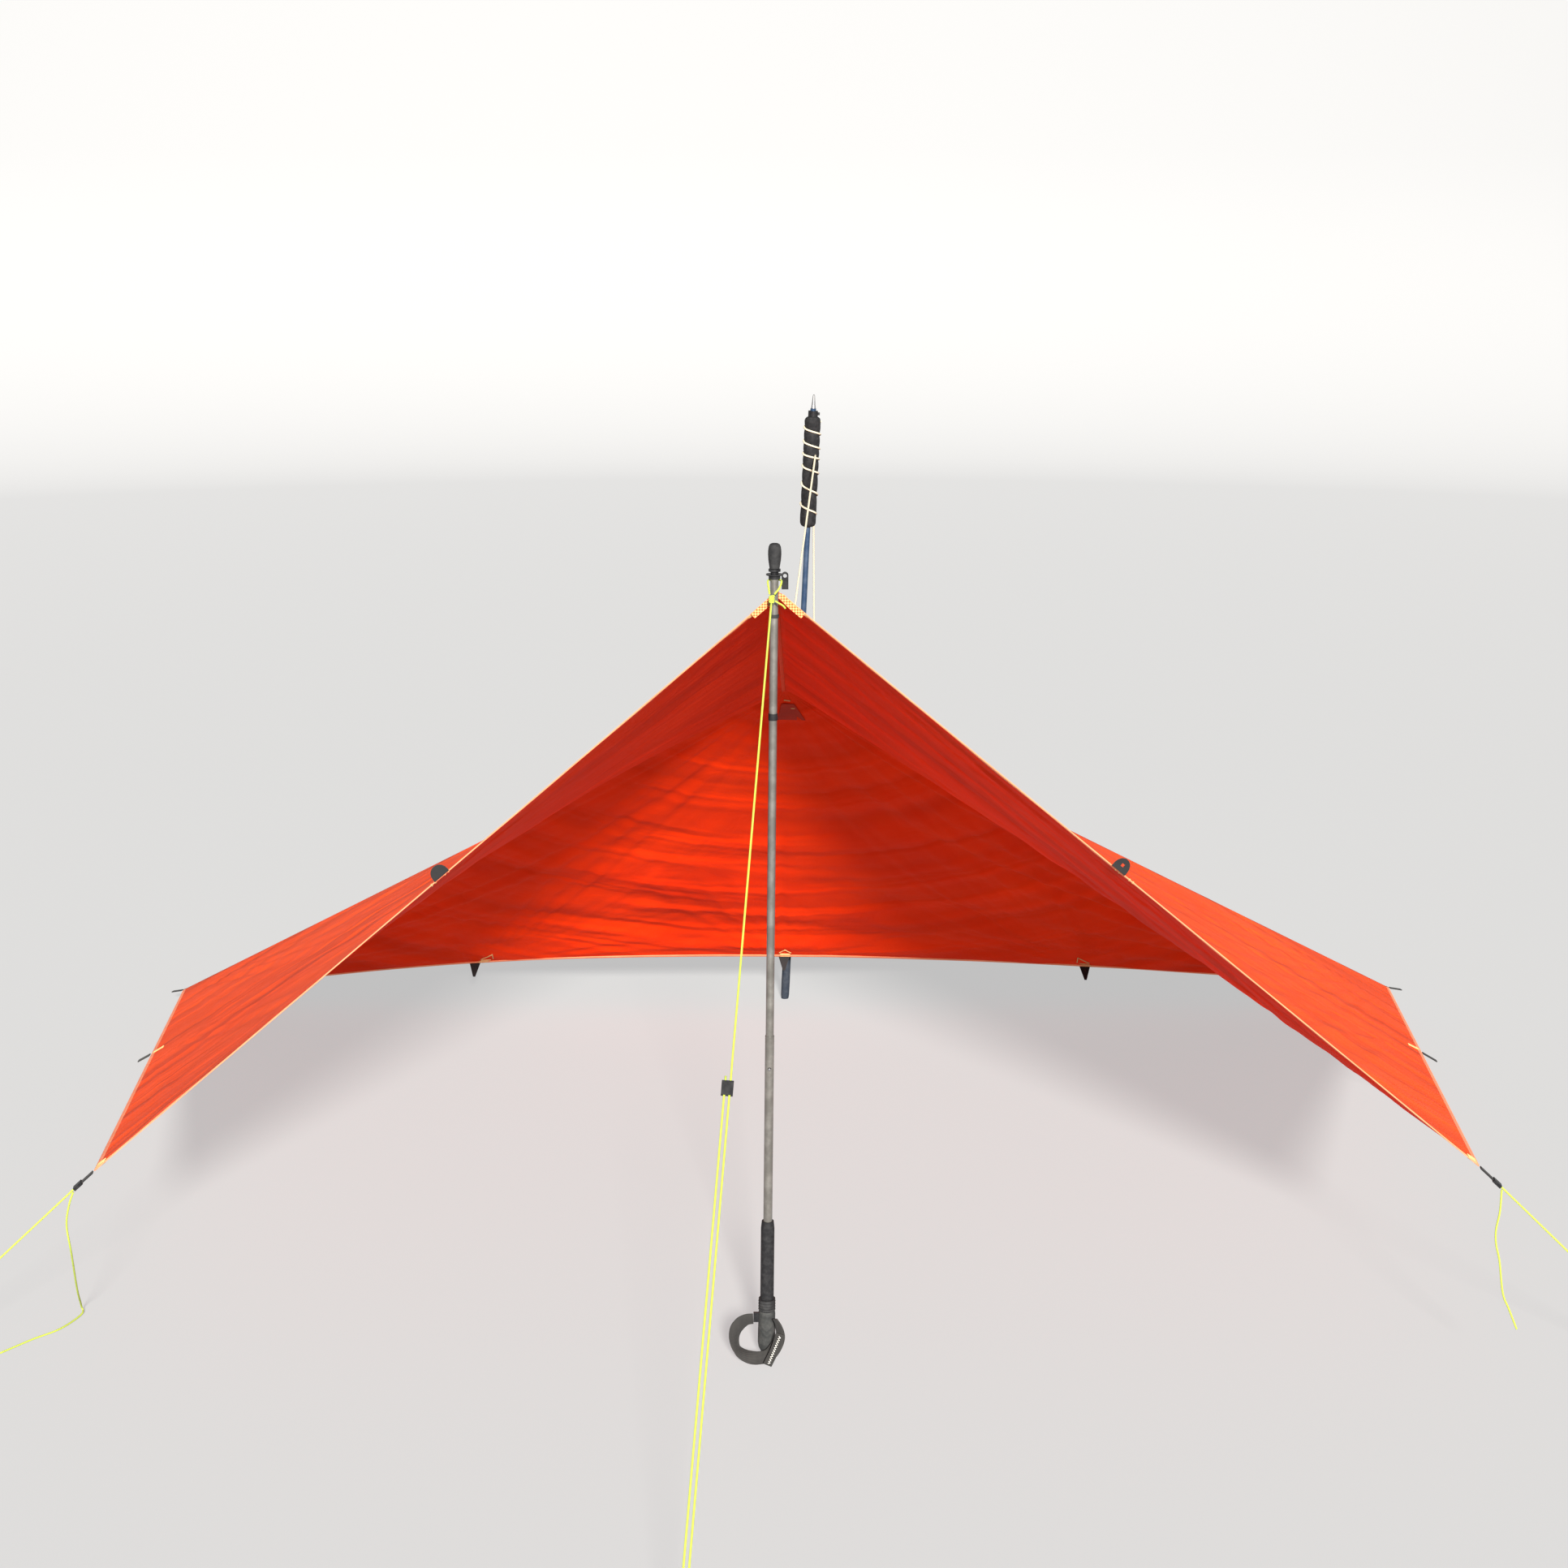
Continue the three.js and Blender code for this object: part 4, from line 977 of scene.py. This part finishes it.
# ---------------------------------------------------------------- materials on the CAD pieces
LOOKS = {
    "textured_collar": RUBBER, "grip_extension": FOAM, "grip_tube": GREY_TUBE, "middle_tube": GREY_TUBE,
    "upper_tube": GREY_TUBE, "lock_button": STEEL, "joint_sleeve": PLASTIC, "shaft_tip": PLASTIC,
    "carbide_tip": STEEL, "tip_collar": PLASTIC, "basket_disc": PLASTIC, "tip_ring": PLASTIC,
    "tip_protector": RUBBER, "shaft_band": RUBBER, "strap_wedge": PLASTIC, "rear_pole_grip": REAR_GRIP,
    "rear_pole_shaft": BLUE_TUBE, "rear_pole_collar": PLASTIC, "rear_pole_tip": STEEL, "peak_webbing": PEACH,
    "peak_tab": PLASTIC, "back_loop_left": WEBBING, "back_loop_centre": WEBBING, "back_loop_right": WEBBING,
    "front_corner_webbing_left": WEBBING, "front_corner_webbing_right": WEBBING,
    "back_corner_webbing_left": WEBBING, "back_corner_webbing_right": WEBBING, "side_loop_left": STRAP,
    "side_loop_right": WEBBING, "line_lock_left": PLASTIC, "line_lock_right": PLASTIC,
    "guyline_tensioner": PLASTIC, "ridge_tie_loop": WEBBING, "ridge_patch": PATCH,
}
for node_name, look in LOOKS.items():
    NODES[node_name].data.materials.clear()
    NODES[node_name].data.materials.append(look)

# ---------------------------------------------------------------- floor, light
FLOOR_R = 11.0
WALL_BEND = 2.0
WALL_TOP = 8.0
FLOOR_DROP = 0.0015
FLOOR_GREY = 0.12
FLOOR_GLOW = 0.50
SKY_STRENGTH = 0.14


def studio_floor():
    """Round floor that curves up into a wall all the way round."""
    profile = [(0.0, 0.0), (4.0, 0.0), (FLOOR_R, 0.0)]
    for k in range(1, 13):
        angle = math.radians(90 * k / 12)
        profile.append((FLOOR_R + WALL_BEND * math.sin(angle), WALL_BEND * (1 - math.cos(angle))))
    profile.append((FLOOR_R + WALL_BEND, WALL_TOP))
    points = []
    around = 96
    for r, z in profile:
        for k in range(around):
            angle = 2 * math.pi * k / around
            points.append((r * math.cos(angle), r * math.sin(angle) + 0.6, z))
    return weld(make_mesh("floor", points, loft_faces(len(profile), around, capped=False)))


floor_mesh = studio_floor()
floor = bpy.data.objects.new("floor", floor_mesh)
floor.location.z = -FLOOR_DROP
bpy.context.collection.objects.link(floor)
floor_mat, _, floor_shader = material("floor_pale")
floor_shader.inputs["Base Color"].default_value = (FLOOR_GREY, FLOOR_GREY, FLOOR_GREY, 1)
floor_shader.inputs["Emission Color"].default_value = (1.0, 1.0, 1.0, 1)
floor_shader.inputs["Emission Strength"].default_value = FLOOR_GLOW
floor_shader.inputs["Specular IOR Level"].default_value = 0.0
floor_shader.inputs["Roughness"].default_value = 0.9
floor_mesh.materials.append(floor_mat)
# The wall would otherwise stand between the key light and the shelter.
floor.visible_shadow = False

world = bpy.data.worlds.new("studio")
world.use_nodes = True
world.node_tree.nodes["Background"].inputs["Color"].default_value = (1.0, 1.0, 1.0, 1)
world.node_tree.nodes["Background"].inputs["Strength"].default_value = SKY_STRENGTH
bpy.context.scene.world = world


def sun(name, azimuth, elevation, strength, angle, colour):
    """Distant lamp; azimuth turns from straight in front towards the right, all angles in degrees."""
    data = bpy.data.lights.new(name, "SUN")
    data.energy = strength
    data.angle = math.radians(angle)
    data.color = colour
    lamp = bpy.data.objects.new(name, data)
    az, el = math.radians(azimuth), math.radians(elevation)
    toward = Vector((math.sin(az) * math.cos(el), -math.cos(az) * math.cos(el), math.sin(el)))
    lamp.rotation_euler = toward.to_track_quat("Z", "Y").to_euler()
    bpy.context.collection.objects.link(lamp)


sun("key_light", azimuth=6.8, elevation=25.0, strength=12.5, angle=7.0, colour=(1.0, 0.97, 0.92))
bpy.context.scene.view_settings.view_transform = "Standard"
